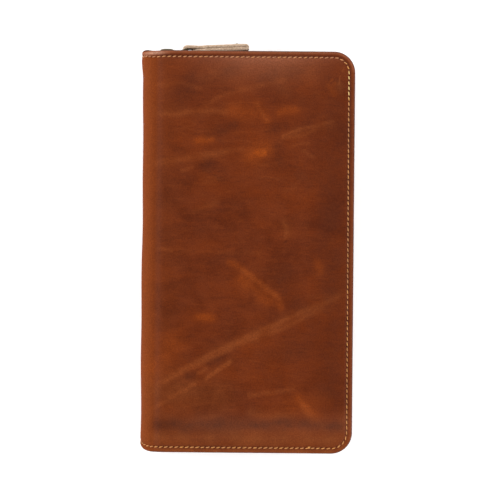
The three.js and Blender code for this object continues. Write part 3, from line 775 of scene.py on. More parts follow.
# ---- Stitching round three sides, over the spine's ends ----
THREAD_STEPS, THREAD_SIDES = 8, 8  # quads along a stitch and round it
THREAD_LAY = 0.55  # how far the plies turn from one step to the next
KNOT = (31.6, -96.9)  # where the thread ends, on the lower stitch line


def thread_radius(on_side, y):
    """The thread lies fuller on the long side, most of all near the head, and thin at its foot."""
    if not on_side:
        return 0.28
    if y > 72:
        return 0.3
    return 0.27 if y > 10 else 0.235


def stitch(solid, q, underside):
    """One slanted stitch from hole q to hole q + 1, its thread dipping into both."""
    (s0, y0), (ns, ny) = station(q + 0.5)
    ts, ty = ny, -ns  # along the outline
    on_side = abs(ns) == 1
    slant = math.tan(math.radians(14 - 6 * on_side)) * (1 + random.uniform(-0.25, 0.25))
    length = 1.1 + random.uniform(-0.06, 0.06)

    def surface(t, angle):
        radius = thread_radius(on_side, y0) * fullness(t, 0.6)
        depth = 0.18 + 0.44 * abs(t) ** 2.6 - 0.86 * radius * math.sin(angle)
        if underside:
            depth = RIM_DEPTH + 0.36 - depth
        along = t * length
        inset = stitch_inset(y0) + slant * along + radius * math.cos(angle)
        s, y = s0 + ns * inset + ts * along, y0 + ny * inset + ty * along
        return place(s, y, depth + swell(s, y))

    solid.spindle(surface, THREAD_STEPS, THREAD_SIDES)


def knot_strand(solid, turn, reach):
    """One of the short strands that cross in the knot."""

    def surface(t, angle):
        radius = 0.3 * fullness(t, 0.45)
        along, across = reach * t, radius * math.cos(angle)
        return (
            KNOT[0] + along * math.cos(turn) + across * math.sin(turn),
            KNOT[1] + along * math.sin(turn) - across * math.cos(turn),
            THICK + 0.22 - 0.2 * t * t + radius * math.sin(angle),
        )

    solid.spindle(surface, 6, THREAD_SIDES)


stitches = Solid()
for k in range(ROUND):
    stitch(stitches, k, False)
    stitch(stitches, k, True)
for turn, reach in ((0.5, 0.75), (2.3, 0.6), (1.4, 0.5)):
    knot_strand(stitches, turn, reach)
stitching = stitches.make("cover_stitches", THREAD)
x, y, _ = points_of(stitching).T
along = np.arange(THREAD_STEPS + 1)
plies = np.add.outer(along * THREAD_LAY, np.arange(THREAD_SIDES) / THREAD_SIDES)
paint(stitching, "twist", np.resize(plies, len(x)))
# Painted shade, darkest at each stitch's ends, where it dips into its holes.
dip_shade = np.resize(np.repeat(np.abs(along * 2 / THREAD_STEPS - 1) ** 3 * 0.8, THREAD_SIDES), len(x))
dip_shade[2 * ROUND * plies.size:] = 0  # the knot lies on top
paint(stitching, "dip_shade", dip_shade)
# Painted light on the thread: golden along the long side and the foot, with a pale painted highlight near
# the upper corner.
on_rim = np.clip((x - 43) / 5, 0, 1)
thread_light = np.maximum(0.15 + on_rim * np.where(y < -15, 0.25, 0.18), 0.45 * (y < -90))
thread_glint = np.clip((y - 73) / 6, 0, 1) * np.clip((93 - y) / 4, 0, 1)
paint(stitching, "thread_light", thread_light + 0.67 * thread_glint * on_rim)
bend_with_covers(stitching, "thread", "back_cover_stitching", "front_cover_stitching")


# ---- Zip path: the tape's centre line in plan, from the head by the spine round both corners ----
ZIP_CORNER_X, ZIP_CORNER_Y = ZIP_X - ZIP_RADIUS, ZIP_Y - ZIP_RADIUS


def zip_legs(start_x, end_x):
    """Lengths of the path's five legs: straight, corner, straight, corner, straight."""
    arc = math.pi / 2 * ZIP_RADIUS
    return [ZIP_CORNER_X - start_x, arc, 2 * ZIP_CORNER_Y, arc, ZIP_CORNER_X - end_x]


def zip_point(d, start_x):
    """(x, y), outward normal and heading at distance d from the head."""
    legs = zip_legs(start_x, start_x)
    leg = 0
    while leg < 4 and d >= legs[leg]:
        d -= legs[leg]
        leg += 1
    corner_y = ZIP_CORNER_Y if leg < 3 else -ZIP_CORNER_Y
    if leg % 2:
        angle = (math.pi / 2 if leg == 1 else 0) - d / ZIP_RADIUS
        normal = (math.cos(angle), math.sin(angle))
        point = (ZIP_CORNER_X + ZIP_RADIUS * normal[0], corner_y + ZIP_RADIUS * normal[1])
    elif leg == 0:
        point, normal = (start_x + d, ZIP_Y), (0, 1)
    elif leg == 2:
        point, normal = (ZIP_X, corner_y - d), (1, 0)
    else:
        point, normal = (ZIP_CORNER_X - d, -ZIP_Y), (0, -1)
    return point, normal, (normal[1], -normal[0])


TAIL_X = -48.0  # the tapes' tails end inside the round spine
TAPE_EDGE = 2.9  # from each tape's edge to MID
TAPE_HALF = 0.26  # half a tape's thickness
CORD = 0.62  # radius of the cord along a tape's edge


def zip_tape(side):
    """The tape rises from between the rim's leathers, bows out a little and ends in its cord."""
    rings = []
    for d in np.linspace(0, sum(zip_legs(TAIL_X, TAIL_X)), 320):
        (x, y), normal, _ = zip_point(d, TAIL_X)
        tuck = smoothstep((x + 43) / 4)  # no flange inside the spine
        foot = 2.35
        if x < SPINE_END:
            foot = MID - math.sqrt(11.5**2 - (x - SPINE_END) ** 2) + 0.4
        top = MID - TAPE_EDGE
        line = [(-0.85 * tuck, foot), (-0.45 * tuck, foot + 0.08), (-0.1, foot + 0.5)]
        for t in (0.15, 0.3, 0.45, 0.6, 0.75, 0.88):
            line.append((-0.32 * math.sin(math.pi * t), foot + 0.5 + (top - foot - 0.5) * t))
        line.append((0.0, top - 0.2))
        normals = [normal_at(line, i) for i in range(len(line))]
        outer, inner = (
            [(i + way * u, d + way * v) for (i, d), (u, v) in zip(line, normals)]
            for way in (-TAPE_HALF, TAPE_HALF)
        )
        cord = [(CORD * math.cos(a), top + 0.25 + CORD * math.sin(a)) for a in steps(0, math.pi, 6)]
        rings.append([
            (x - normal[0] * inset, y - normal[1] * inset, height(side, depth))
            for inset, depth in outer + cord + inner[::-1]
        ])
    solid = Solid()
    solid.loft(rings)
    tape = solid.make(f"{side}_zip_tape_cloth", TAPE)
    stand_in(tape, "tape_cloth", f"{side}_cover", f"{side}_zip_tape")


# A zip tooth's cross-sections from its legs to its head: height from the zip's centre line, half
# size along the zip, half size across it.
TOOTH = [
    (-3.5, 0.42, 0.85), (-3.3, 0.6, 1.15), (-2.9, 0.66, 1.28), (-1.7, 0.66, 1.28), (-1.2, 0.6, 1.1),
    (-0.8, 0.46, 0.98), (-0.2, 0.44, 0.95), (0.15, 0.62, 1.02), (0.5, 0.66, 1.02), (0.75, 0.56, 0.92),
    (0.86, 0.36, 0.7),
]


def tooth(solid, centre, along, across, up, size=1.0, lift=0.0):
    """Lofts one tooth: centre on the zip's line, with its three directions."""
    centre, along, across, up = (Vector(v) for v in (centre, along, across, up))
    solid.loft([
        [
            centre + along * (t * half_t * size) + across * (w * half_w * size) + up * (rise * size + lift)
            for t, w in chamfered(0.55)
        ]
        for rise, half_t, half_w in TOOTH
    ])


TOOTH_PITCH = 3.0
CHAIN_HEAD_X, CHAIN_FOOT_X = -46.6, -44.5


def zip_chain(side):
    """The two sides' teeth stand half a pitch apart, and lean away from each other at the head."""
    phase = 0.3 if side == "back" else 0.8
    solid = Solid()
    for i in range(int(sum(zip_legs(CHAIN_HEAD_X, CHAIN_FOOT_X)) / TOOTH_PITCH)):
        (x, y), normal, heading = zip_point((i + phase) * TOOTH_PITCH, CHAIN_HEAD_X)
        parting = 1.4 * smoothstep((-38.5 - x) / 4) if y > 0 else 0.0
        tooth(solid, (x, y, MID), (*heading, 0), (*normal, 0), (0, 0, inwards(side)), lift=-parting)
    chain = solid.make(f"{side}_zip_chain", BRASS)
    stand_in(chain, "zip_brass", f"{side}_cover", f"{side}_zip_teeth")


def mm_box(node):
    return [[c / MM for c in corner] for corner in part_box(node)]


def crimped_stop(node, body):
    """A stop pressed on to the tape: its CAD box with rounded edges."""
    low, high = mm_box(node)
    made = bmesh.new()
    bmesh.ops.create_cube(made, size=1)
    for v in made.verts:
        v.co = Vector([c * (h - l) + (h + l) / 2 for c, l, h in zip(v.co, low, high)])
    round_edges(made, made.edges[:], 0.35)
    solid = Solid()
    solid.take(made)
    stand_in(solid.make(f"{node}_crimp", BRASS), "zip_brass", body, node)


for side in COVERS:
    zip_tape(side)
    zip_chain(side)
for node, body in (
    ("back_top_stop", "back_cover"), ("front_top_stop", "front_cover"), ("zip_bottom_stop", "back_cover"),
    ("coin_top_stop_back", "divider"), ("coin_top_stop_front", "divider"), ("coin_bottom_stop", "divider"),
):
    crimped_stop(node, body)


# ---- Sliders. Local frame: X towards the tail, Y away from the wallet, Z across ----
def slab(solid, outline, y0, y1, at, radius):
    """An outline in X and Z, extruded along Y, with rounded edges."""
    made = bmesh.new()
    made.faces.new([made.verts.new((x, y0, z)) for x, z in outline])
    lifted = bmesh.ops.extrude_face_region(made, geom=made.faces[:])["geom"]
    for v in (g for g in lifted if isinstance(g, bmesh.types.BMVert)):
        v.co.y = y1
    rims = [e for e in made.edges if abs(e.verts[0].co.y - e.verts[1].co.y) < 1e-6]
    round_edges(made, rims, radius)
    solid.take(made, lambda co: at @ co)


SHOULDER = 2.2  # radius of a slider's shoulders
TAIL_ROUND = 0.7  # and of its tail's corners
LIP = 0.35  # thickness of its side lips


def slider_outline(nose, tail, half, tail_half):
    """Plan of a slider's plate: broad shoulders at the nose, drawn in to the tail."""
    right = []
    for a in steps(0, math.pi / 2, 7)[::-1]:
        out = half - SHOULDER * (1 - math.cos(a)) * 0.8
        right.append((-nose + SHOULDER * (1 - math.sin(a)), out))
    right += [(0.4, half), (tail * 0.55, half - (half - tail_half) * 0.55)]
    for a in steps(0, math.pi / 2, 4):
        out = tail_half - TAIL_ROUND + TAIL_ROUND * math.cos(a)
        right.append((tail - TAIL_ROUND + TAIL_ROUND * math.sin(a), out))
    return right + [(x, -z) for x, z in right[::-1]]


def slider(prefix, at, body, nodes, lips, nose, tail, half, tail_half, channel, plate, post, bail, wall):
    """Two plates joined by a post, side lips, and the bail that the pull hangs in. bail is its
    height and half width."""
    cast = Solid()
    plan = slider_outline(nose, tail, half, tail_half)
    for y0, y1 in ((channel, channel + plate), (-channel - plate, -channel)):
        slab(cast, plan, y0, y1, at, min(0.3, plate * 0.3))
    lip = [(-nose + 2.4, half), (0.4, half), (tail - 0.8, tail_half)]
    lip += [(x, z - LIP) for x, z in lip[::-1]]
    for way in lips:
        for face in (-1, 1):
            y0, y1 = sorted((face * (channel + 0.15), face * 0.62))
            slab(cast, [(x, z * way) for x, z in lip], y0, y1, at, 0.12)
    wedge = [(0.5, -0.5), (1.6, -0.9), (3.6, 0), (1.6, 0.9), (0.5, 0.5)]
    wedge = [(-nose + x, post * z) for x, z in wedge]
    slab(cast, wedge, -channel - 0.1, channel + 0.1, at, 0.08)
    stand_in(cast.make(f"{prefix}_body_cast", DARK_BRASS), "slider_metal", body, nodes[0])
    # The bail is a band that springs from the outer plate and arches over the link's bar.
    base, reach = channel + plate - 0.1, nose * 0.76 - wall / 2
    rings = []
    for a in steps(0, math.pi, 24):
        nx, ny = math.cos(a), math.sin(a)
        x = -reach * math.copysign(abs(nx) ** 0.55, nx)
        y = base + (bail[0] + 0.15 - wall / 2) * abs(ny) ** 0.5
        width = bail[1] * (1 + 0.18 * abs(nx) ** 3)
        rings.append([
            at @ Vector((x - nx * u * wall / 2, y + ny * u * wall / 2, w * width))
            for u, w in chamfered(0.8)
        ])
    band = Solid()
    band.loft(rings)
    stand_in(band.make(f"{prefix}_bail_band", DARK_BRASS), "slider_metal", body, nodes[1])


quarter_turn = Matrix.Rotation(-math.pi / 2, 4, "Z")
slider_at = Matrix.Translation((-41.0, ZIP_Y, MID))
COIN_PLANE, COIN_SLIDER_Y = 31.0, 78.0
coin_at = Matrix.Translation((COIN_PLANE, COIN_SLIDER_Y, MID)) @ quarter_turn
slider(
    "zip_slider", slider_at, "zip_slider", ("slider_body", "slider_bail"),
    lips=(-1,),  # the front tape has to swing out of the channel
    nose=5.5, tail=5.5, half=4.3, tail_half=3.9, channel=1.55, plate=1.1, post=1.0, bail=(3.45, 1.2),
    wall=0.7,
)
slider(
    "coin_slider", coin_at, "coin_slider", ("coin_slider_body", "coin_slider_bail"), lips=(-1, 1),
    nose=4.0, tail=4.0, half=3.2, tail_half=2.6, channel=1.2, plate=0.8, post=0.5, bail=(2.6, 0.9), wall=0.6,
)


# ---- Main pull: wire link, folded leather strap, rivet ----
def tube(solid, path, radius, at, closed=False, sides=12):
    """A round wire along points, in a local frame."""
    points = [Vector(p) for p in path]
    n = len(points)
    rings = []
    side = None
    for i, p in enumerate(points):
        a = points[i - 1] if closed or i else p
        b = points[(i + 1) % n] if closed or i < n - 1 else p
        heading = (b - a).normalized()
        if side is None:
            side = heading.orthogonal().normalized()
        side = (side - heading * side.dot(heading)).normalized()
        other = heading.cross(side)
        rings.append([
            at @ (p + radius * (math.cos(t) * side + math.sin(t) * other)) for t in circle(sides)
        ])
    solid.loft(rings, closed=closed)


BAIL_BAR = 4.7  # height of the link's near bar over the zip's plane
LINK_LENGTH, LINK_HALF, LINK_CORNER, WIRE, LINK_BOW = 10.0, 5.0, 0.75, 0.5, 0.9
link_at = slider_at @ Matrix.Translation((0, BAIL_BAR, 0)) @ Matrix.Rotation(math.radians(5), 4, "Z")


def link_loop():
    """The link's centre line: four round corners, its long sides bowed in towards the wallet."""
    far_x, far_z = LINK_LENGTH - LINK_CORNER, LINK_HALF - LINK_CORNER
    loop = []
    for cx, cz, start in ((far_x, far_z, 0), (LINK_CORNER, far_z, 90), (LINK_CORNER, -far_z, 180),
                          (far_x, -far_z, 270)):
        for a in steps(math.radians(start), math.radians(start + 90), 6):
            loop.append((cx + LINK_CORNER * math.cos(a), 0, cz + LINK_CORNER * math.sin(a)))
        if start in (0, 180):
            x0, _, z = loop[-1]
            for t in steps(0, 1, 10)[1:-1]:
                loop.append((x0 + (LINK_LENGTH - 2 * x0) * t, -LINK_BOW * math.sin(math.pi * t), z))
    return loop


solid = Solid()
tube(solid, link_loop(), WIRE, link_at, closed=True)
stand_in(solid.make("pull_link_wire", DARK_WIRE), "slider_metal", "pull_link", "pull_link")

STRAP_LENGTH, STRAP_HALF, STRAP_CORNER = 31.1, 5.5, 3.5
NECK_HALF, NECK, NECK_FLARE = 4.2, 7.5, 2.5
LAYER, EYE = 1.62, 1.35  # one layer's thickness, and the fold's radius at its middle
PRESSED = LAYER / 2 + 0.015  # half the distance between the layers' middles where they are pressed
BLUNT = 1.5  # how much of the free end is rounded off
strap_at = link_at @ Matrix.Translation((LINK_LENGTH, 0, 0)) @ Matrix.Rotation(math.radians(-3), 4, "Z")


def strap_half_width(x):
    if x < NECK + NECK_FLARE:
        return NECK_HALF + (STRAP_HALF - NECK_HALF) * smoothstep((x - NECK) / NECK_FLARE)
    over = max(x - (STRAP_LENGTH - STRAP_CORNER), 0)
    return STRAP_HALF - STRAP_CORNER + math.sqrt(max(STRAP_CORNER**2 - over**2, 0.3))


def strap_middle(x):
    """The strap leaves the eye a little to its outer side, and drifts further out."""
    return 0.05 * smoothstep(x / NECK) + 0.012 * x


def strap_part(x):
    """Half the distance between the layers' middles, which close up along the neck."""
    return EYE + (PRESSED - EYE) * smoothstep(x / NECK)


def strap_line():
    """Centre line of the folded strip: outer layer in to the eye, round it, and out again."""
    xs = [STRAP_LENGTH - d for d in (0, 0.08, 0.2, 0.4, 0.7, 1.1)]  # close together at the free end
    xs += steps(STRAP_LENGTH - BLUNT, 0, 46)[:-1]
    outer = [(x, strap_middle(x) + strap_part(x)) for x in xs]
    turn = [(-EYE * math.sin(a), EYE * math.cos(a)) for a in steps(0, math.pi, 14)]
    return outer + turn + [(x, strap_middle(x) - strap_part(x)) for x in xs[::-1]]


# Round the strip's section, as shares of its half thickness and half width: grain side, cut edge,
# flesh side, cut edge.
STRAP_SECTION = (
    (-1, -1), (-1, -0.5), (-1, 0), (-1, 0.5), (-1, 1), (-0.55, 1), (0, 1), (0.55, 1),
    (1, 1), (1, 0.5), (1, 0), (1, -0.5), (1, -1), (0.55, -1), (0, -1), (-0.55, -1),
)
GRAIN, CUT, FLESH = 0, 1, 2  # the strap's materials


def strap_ring(line, i):
    """The strip's section at one point of its centre line."""
    x, y = line[i]
    nx, ny = normal_at(line, i)
    blunt = 1 - min((STRAP_LENGTH - x) / BLUNT, 1)
    grain_side = LAYER / 2 * (2 * math.sqrt(max(1 - blunt**2, 0.12)) - 1)
    ring = []
    for u, w in STRAP_SECTION:
        z = w * strap_half_width(x)
        if abs(w) == 1:  # the cut edges are a little uneven, and their corners are worn
            z += 0.05 * math.sin(x * 3.1 + u * 2 + w) - (0.16 * w if abs(u) == 1 else 0)
        t = u * (grain_side if u < 0 else LAYER / 2)
        ring.append(strap_at @ Vector((x + nx * t, y + ny * t, z)))
    return ring


line = strap_line()
solid = Solid()
solid.loft([strap_ring(line, i) for i in range(len(line))])
around = [GRAIN] * 4 + [CUT] * 4 + [FLESH] * 4 + [CUT] * 4
strap = solid.make(
    "pull_strap_folded", STRAP_LEATHER, RAW_EDGE, FLESH_SIDE, kinds=around * (len(line) - 1) + [CUT, CUT],
)
stand_in(strap, "pull_leather", "pull_strap", "pull_strap")

RIVET_AT = 25.0
RIVET_CAP = [(0.8, -0.1), (1.42, 0.0), (1.25, 0.34), (0.95, 0.62), (0.55, 0.8), (0, 0.85)]
solid = Solid()
for face in (1, -1):
    rings = []
    for radius, rise in RIVET_CAP:
        y = strap_middle(RIVET_AT) + face * (PRESSED + LAYER / 2 + rise)
        rings.append([
            strap_at @ Vector((RIVET_AT + radius * math.cos(a), y, radius * math.sin(a))) for a in circle(24)
        ])
    solid.loft(rings)
stand_in(solid.make("pull_rivet_caps", DARK_BRASS), "slider_metal", "pull_strap", "pull_rivet")


# ---- Lining of the covers and the spine, one cloth from rim to rim ----
def lining_depth(s, y, depth):
    """On the round spine there is no board, so the cloth lies closer to the hide."""
    return depth - 0.75 * smoothstep(into_spine(s) / 5)


LINING_INSET = 4.92
LINING_RINGS = [
    (CORNER, 2.8), (7.0, 2.8), (5.3, 2.8), (5.02, 2.72), (LINING_INSET, 2.55), (5.02, 2.38), (5.3, 2.3),
    (7.0, 2.3), (CORNER, 2.3),
]
lining = hide_sheet("inner_lining", LINING_RINGS, LINING, (90, 60, 10), lining_depth)
bend_with_covers(lining, "lining_cloth", "back_cover_lining", "front_cover_lining", "spine_lining")


# ---- Card pockets: each one's mouth is turned and creased ----
def strip(name, side, profile, y0, y1, count, material, wave=None):
    """A thin piece running along Y. profile is a closed loop of (x, depth)."""
    solid = Solid()
    solid.loft([
        [(x + (wave(x, y) if wave else 0.0), y, height(side, depth)) for x, depth in profile]
        for y in steps(y0, y1, count)
    ])
    return solid.make(name, material)


def seam(solid, start, end, z, out, pitch=3.0):
    """A straight row of stitches on a face at height z; out is +1 or -1 along Z."""
    a, b = Vector((*start, z)), Vector((*end, z))
    along = (b - a).normalized()
    side = Vector((-along.y, along.x, 0))
    for k in range(int((b - a).length / pitch)):
        middle = a + along * ((k + 0.5) * pitch)

        def surface(t, angle):
            radius = 0.2 * fullness(t, 0.6)
            lift = 0.08 + 0.1 * (1 - t**4) + 0.7 * radius * math.sin(angle)
            across = radius * math.cos(angle) + 0.12 * t
            return middle + along * (t * 0.37 * pitch) + side * across + Vector((0, 0, out * lift))

        solid.spindle(surface, 6, 6)


PANEL_X, PANEL_HALF = (-38.0, 44.0), 92.5
POCKET_MOUTHS, POCKET_FEET, POCKET_HALF = (42, 30, 18, 6), (-8, -20, -32, -38), 91.5
PANEL_DEPTH, PANEL_FACE = 2.9, 3.3
POCKET_STEP, POCKET_GAP = 0.5, 0.1  # a pocket's thickness is the step less the gap


def leaf_profile(x0, x1, d0, d1):
    """A leaf's section from its foot at x0 to its mouth at x1, which is turned and creased."""
    mid, r = (d0 + d1) / 2, (d1 - d0) / 2
    mouth = [(4, d0), (r, d0), (0.3 * r, d0 + 0.3 * r), (0, mid), (0.3 * r, d1 - 0.3 * r), (r, d1)]
    crease = [(1.1, d1), (1.3, d1 - 0.1), (1.5, d1 - 0.1), (1.7, d1), (4, d1)]
    return [(x0 + r, d0), *[(x1 - back, d) for back, d in mouth + crease], (x0 + r, d1), (x0, mid)]


def pocket_top(x):
    """Depth of the uppermost pocket's face at x."""
    return PANEL_FACE + POCKET_STEP * sum(1 for mouth in POCKET_MOUTHS if x < mouth)


def mouth_wave(mouth):
    """The mouths of the two columns of pockets dip a little."""
    return lambda x, y: -0.35 * math.sin(math.pi * abs(y) / POCKET_HALF) ** 2 if x > mouth - 4 else 0.0


for side in COVERS:
    body = f"{side}_cover"
    leaf = leaf_profile(*PANEL_X, PANEL_DEPTH, PANEL_FACE)
    panel = strip(f"{side}_card_panel_leaf", side, leaf, -PANEL_HALF, PANEL_HALF, 40, INNER_LEATHER)
    stand_in(panel, "inner_leather", body, f"{side}_card_panel")
    for row, (mouth, foot) in enumerate(zip(POCKET_MOUTHS, POCKET_FEET)):
        face = PANEL_FACE + POCKET_STEP * row + POCKET_GAP
        leaf = leaf_profile(foot, mouth, face, face + POCKET_STEP - POCKET_GAP)
        node = f"{side}_card_pocket_{row + 1}"
        pocket = strip(
            f"{node}_leaf", side, leaf, -POCKET_HALF, POCKET_HALF, 60, INNER_LEATHER, mouth_wave(mouth),
        )
        stand_in(pocket, "inner_leather", body, node)
    # Stitch lines close both ends and part the two columns of pockets.
    thread = Solid()
    marks = [PANEL_X[1] - 1, *POCKET_MOUTHS, PANEL_X[0] + 1]
    for x1, x0 in zip(marks, marks[1:]):
        z = height(side, pocket_top((x0 + x1) / 2))
        for y in (-89.8, 0.0, 89.8):
            seam(thread, (x1 - 0.4, y), (x0 + 0.4, y), z, inwards(side))
    stand_in(thread.make(f"{side}_pocket_stitches", THREAD), "thread", body)

# ---- Coin pouch ----
COIN_X0, COIN_X1, COIN_HALF, COIN_DEPTH, COIN_WALL = -42.0, 28.5, 92.3, 10.0, 0.5
COIN_CHAIN = (-82.0, 73.5)
COIN_PITCH = 2.1
COIN_TAPE = [
    (24.0, 9.52), (24.15, 9.5), (28, 9.5), (30.6, 9.5), (31.05, 9.62), (31.24, 9.95), (31.25, 10.8),
    (31.5, 11.0), (31.3, 11.25), (31.0, 11.3), (30.7, 11.25), (30.5, 11.0), (30.75, 10.8), (30.75, 10.2),
    (30.6, 9.95), (30.3, 9.9), (28, 9.9), (24.15, 9.9), (24.0, 9.88),
]


def coin_tray(side):
    """Half the pouch: a face with turned-up sides, open to the zip and to the other half."""
    made = bmesh.new()
    ys = steps(-COIN_HALF, COIN_HALF, 32)
    grid = [[made.verts.new((x, y, COIN_DEPTH)) for y in ys] for x in steps(COIN_X0, COIN_X1, 12)]
    for near, far in zip(grid, grid[1:]):
        for a, b, c, d in zip(near, far, far[1:], near[1:]):
            made.faces.new((a, b, c, d))
    lip = MID - 0.03
    rim = [row[0] for row in grid[::-1]] + grid[0][1:-1] + [row[-1] for row in grid]
    raised = [made.verts.new((v.co.x, v.co.y, lip)) for v in rim]
    for a, b, c, d in zip(rim, rim[1:], raised[1:], raised):
        made.faces.new((a, b, c, d))
    bmesh.ops.recalc_face_normals(made, faces=made.faces)
    pairs = [(e, e.link_faces) for e in made.edges if len(e.link_faces) == 2]
    folds = [e for e, (one, other) in pairs if one.normal.dot(other.normal) < 0.5]
    round_edges(made, folds, 0.9, segments=4)
    bmesh.ops.recalc_face_normals(made, faces=made.faces)
    floor_face = [f for f in made.faces if abs(f.normal.z) > 0.9][0]
    thickness = -COIN_WALL if floor_face.normal.z > 0 else COIN_WALL
    bmesh.ops.solidify(made, geom=made.faces[:], thickness=thickness)
    shift = COIN_DEPTH - min(v.co.z for v in made.verts)  # the floor, back on its own depth
    solid = Solid()
    solid.take(made, lambda co: (co.x, co.y, height(side, co.z + shift if co.z < lip - 0.2 else co.z)))
    pouch = solid.make(f"coin_pouch_{side}", INNER_LEATHER)
    stand_in(pouch, "inner_leather", "divider", f"coin_pocket_{side}_wall")


def coin_zip(side):
    """The tape lies on the pouch's face, sewn down, and turns in to the chain."""
    tape = strip(f"coin_tape_{side}_cloth", side, COIN_TAPE, -91.6, 91.6, 62, TAPE,
                 lambda x, y: 0.12 * math.sin(y / 7) if x < 26 else 0.0)
    stand_in(tape, "tape_cloth", "divider", f"coin_tape_{side}")
    chain = Solid()
    phase = 0.25 if side == "back" else 0.75
    y0, y1 = COIN_CHAIN
    for i in range(int((y1 - y0) / COIN_PITCH) - 1):
        y = y0 + (i + phase) * COIN_PITCH
        tooth(chain, (COIN_PLANE, y, MID), (0, 1, 0), (1, 0, 0), (0, 0, inwards(side)), 0.62)
    stand_in(chain.make(f"coin_chain_{side}", BRASS), "zip_brass", "divider", f"coin_teeth_{side}")
    sewn = Solid()
    seam(sewn, (25.3, -86), (25.3, 86), height(side, COIN_TAPE[1][1]), -inwards(side))
    stand_in(sewn.make(f"coin_tape_{side}_stitches", THREAD), "thread", "divider")


for side in COVERS:
    coin_tray(side)
    coin_zip(side)

# The coin slider's tab: a flat plate with a punched slot, on a wire eye.
TAB_LENGTH, TAB_HALF, TAB_START, TAB_WIRE = 11.5, 2.2, 3.7, 0.45
# Round the plate's section, from its rim to the slot: share of the plate's outline, and height.
TAB_SECTION = (
    (1, -0.35), (0.97, -0.5), (0.9, -0.55), (0.55, -0.55), (0.5, -0.4), (0.5, 0.4), (0.55, 0.55),
    (0.9, 0.55), (0.97, 0.5), (1, 0.35),
)
tab_low, tab_high = mm_box("coin_pull_tab")
tab_at = Matrix.Translation(((tab_low[0] + tab_high[0]) / 2, COIN_SLIDER_Y, MID)) @ quarter_turn
tab_middle, tab_reach = (TAB_START + TAB_LENGTH) / 2, (TAB_LENGTH - TAB_START) / 2
rings = []
for a in circle(24):
    u, w = (math.copysign(abs(c) ** 0.6, c) for c in (math.cos(a), math.sin(a)))
    rings.append([
        tab_at @ Vector((tab_middle + tab_reach * u * r, y, TAB_HALF * w * (r - 0.08 * (1 - r))))
        for r, y in TAB_SECTION
    ])
solid = Solid()
solid.loft(rings, closed=True)
eye = TAB_HALF - TAB_WIRE
half_eye = [(x, 0, eye) for x in (TAB_START + 0.3, 2.2, 0.7)] + [(0.2, 0, eye - 0.15), (0, 0, eye - 0.6)]
other_half = [(x, y, -z) for x, y, z in half_eye[::-1]]
tube(solid, half_eye + [(0, 0, 0)] + other_half, TAB_WIRE, tab_at)
stand_in(solid.make("coin_pull_plate", DARK_BRASS), "slider_metal", "coin_pull", "coin_pull_tab")

# ---- Gussets: each V is two leaves that meet at its fold ----
GUSSET_OUT, GUSSET_DEPTH, LEAF = 92.3, 22.0, 0.45
GUSSET_STATIONS = [-36, -30, -24, -18, -12, -6, 0, 5.4, 7.2, 12, 17.4, 19.2, 22.6, 24.2, 26, 28]
QUARTER = 0.32635  # where the smooth bend has done a quarter of its turn


def gusset_leaf(name, node, side, end, at_pouch):
    """From the panel or the coin pouch in to the fold, a little bowed. end is +1 at the head."""
    rings = []
    for x in GUSSET_STATIONS:
        pockets, pouch = pocket_top(x + 0.7) + 0.04, 9.46 if x > 23.5 else 9.95
        base, fold = pouch if at_pouch else pockets, (pockets + pouch) / 2
        outer, inner = [], []
        for t in steps(0, 1, 14):
            y = end * (GUSSET_OUT - GUSSET_DEPTH * t)
            depth = base + (fold - base) * (0.1 * t + 0.9 * smoothstep((t - 0.12) / 0.88))
            thick = LEAF * min(1, (1 - t) * 6 + 0.35)
            outer.append((y, height(side, depth)))
            inner.append((y, height(side, depth - thick if at_pouch else depth + thick)))
        if at_pouch:  # its sewn edge turns over the pouch's end
            hooked, tip = height(side, base + 0.6), end * (GUSSET_OUT - 0.24)
            outer[0:1] = [(end * GUSSET_OUT, hooked), (tip, hooked), (tip, height(side, base))]
        rings.append([(x, y, z) for y, z in outer + inner[::-1]])
    solid = Solid()
    solid.loft(rings)
    if at_pouch:  # half way at the coin pouch, a quarter of the turn away from that at the fold
        reach = GUSSET_DEPTH / (0.5 - QUARTER) / 2
        bend = [GUSSET_OUT - reach, GUSSET_OUT + reach]
    else:  # still at the cover, a quarter of the turn away at the fold
        bend = [GUSSET_OUT, GUSSET_OUT - GUSSET_DEPTH / QUARTER]
    start, end = ((0, end * y * MM, 0) for y in bend[::inwards(side)])
    bend_with_covers(solid.make(name, INNER_LEATHER), "inner_leather", node, start=start, end=end)


for side in COVERS:
    for where, end in (("top", 1), ("bottom", -1)):
        node = f"gusset_{where}_{side}"
        gusset_leaf(f"{node}_cover_leaf", node, side, end, False)
        gusset_leaf(f"{node}_coin_leaf", node, side, end, True)

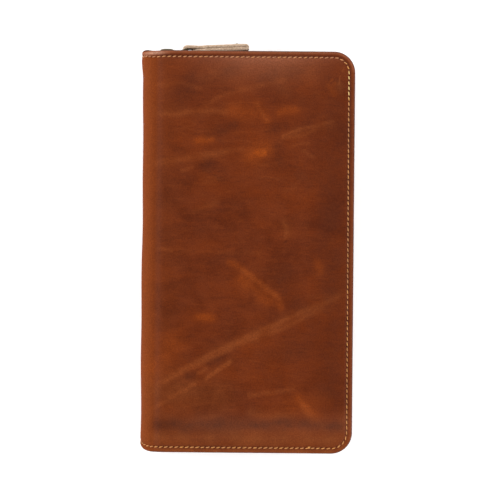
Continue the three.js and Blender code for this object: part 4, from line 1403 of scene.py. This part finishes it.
# ---- Stiffener boards keep their CAD shape ----
for side in COVERS:
    for board_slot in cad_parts[f"{side}_cover_board"].material_slots:
        board_slot.material = BOARD


# ---- Stage ----
def soft_light(name, place_mm, aim_mm, size_mm, watts):
    lamp = bpy.data.lights.new(name, "AREA")
    lamp.shape = "RECTANGLE"
    lamp.size, lamp.size_y = size_mm[0] * MM, size_mm[1] * MM
    lamp.energy = watts
    obj = bpy.data.objects.new(name, lamp)
    bpy.context.collection.objects.link(obj)
    obj.location = Vector(place_mm) * MM
    away = Vector(place_mm) - Vector(aim_mm)
    obj.rotation_euler = away.to_track_quat("Z", "Y").to_euler()


soft_light("key", (-1150, 350, 700), (0, 0, 0), (1200, 900), 8)
soft_light("overhead", (60, 560, 1150), (0, 40, 0), (500, 260), 1.2)
soft_light("fill", (1100, -450, 700), (0, 0, 0), (1200, 900), 6)

# A white tent, open at the top.
world = bpy.data.worlds.new("studio")
world.use_nodes = True
tent = world.node_tree
up = tent.nodes.new("ShaderNodeSeparateXYZ")
tent.links.new(tent.nodes.new("ShaderNodeTexCoord").outputs["Generated"], up.inputs[0])
opening = tent.nodes.new("ShaderNodeMapRange")
tent.links.new(up.outputs["Z"], opening.inputs["Value"])
for socket, value in (("From Min", 0.42), ("From Max", 0.88), ("To Min", 1.5), ("To Max", 0.05)):
    opening.inputs[socket].default_value = value
tent.links.new(opening.outputs[0], tent.nodes["Background"].inputs["Strength"])
tent.nodes["Background"].inputs["Color"].default_value = (0.97, 0.98, 1.0, 1)
bpy.context.scene.world = world
bpy.context.scene.view_settings.view_transform = "Standard"

paper = Shader("pale_paper", Roughness=0.9)
paper.set("Base Color", paper.mix(paper.noise(3, 2), (0.91, 0.91, 0.91, 1), (0.93, 0.93, 0.928, 1)))
paper.set("Emission Color", (1, 1, 1, 1))
paper.set("Emission Strength", 0.45)  # a lit table, so that the shadow stays faint
FLOOR = 4000.0  # half its side
floor_corners = [(x * FLOOR, y * FLOOR, -0.3) for x, y in ((-1, -1), (1, -1), (1, 1), (-1, 1))]
make("floor", floor_corners, [(0, 1, 2, 3)], [paper.material])
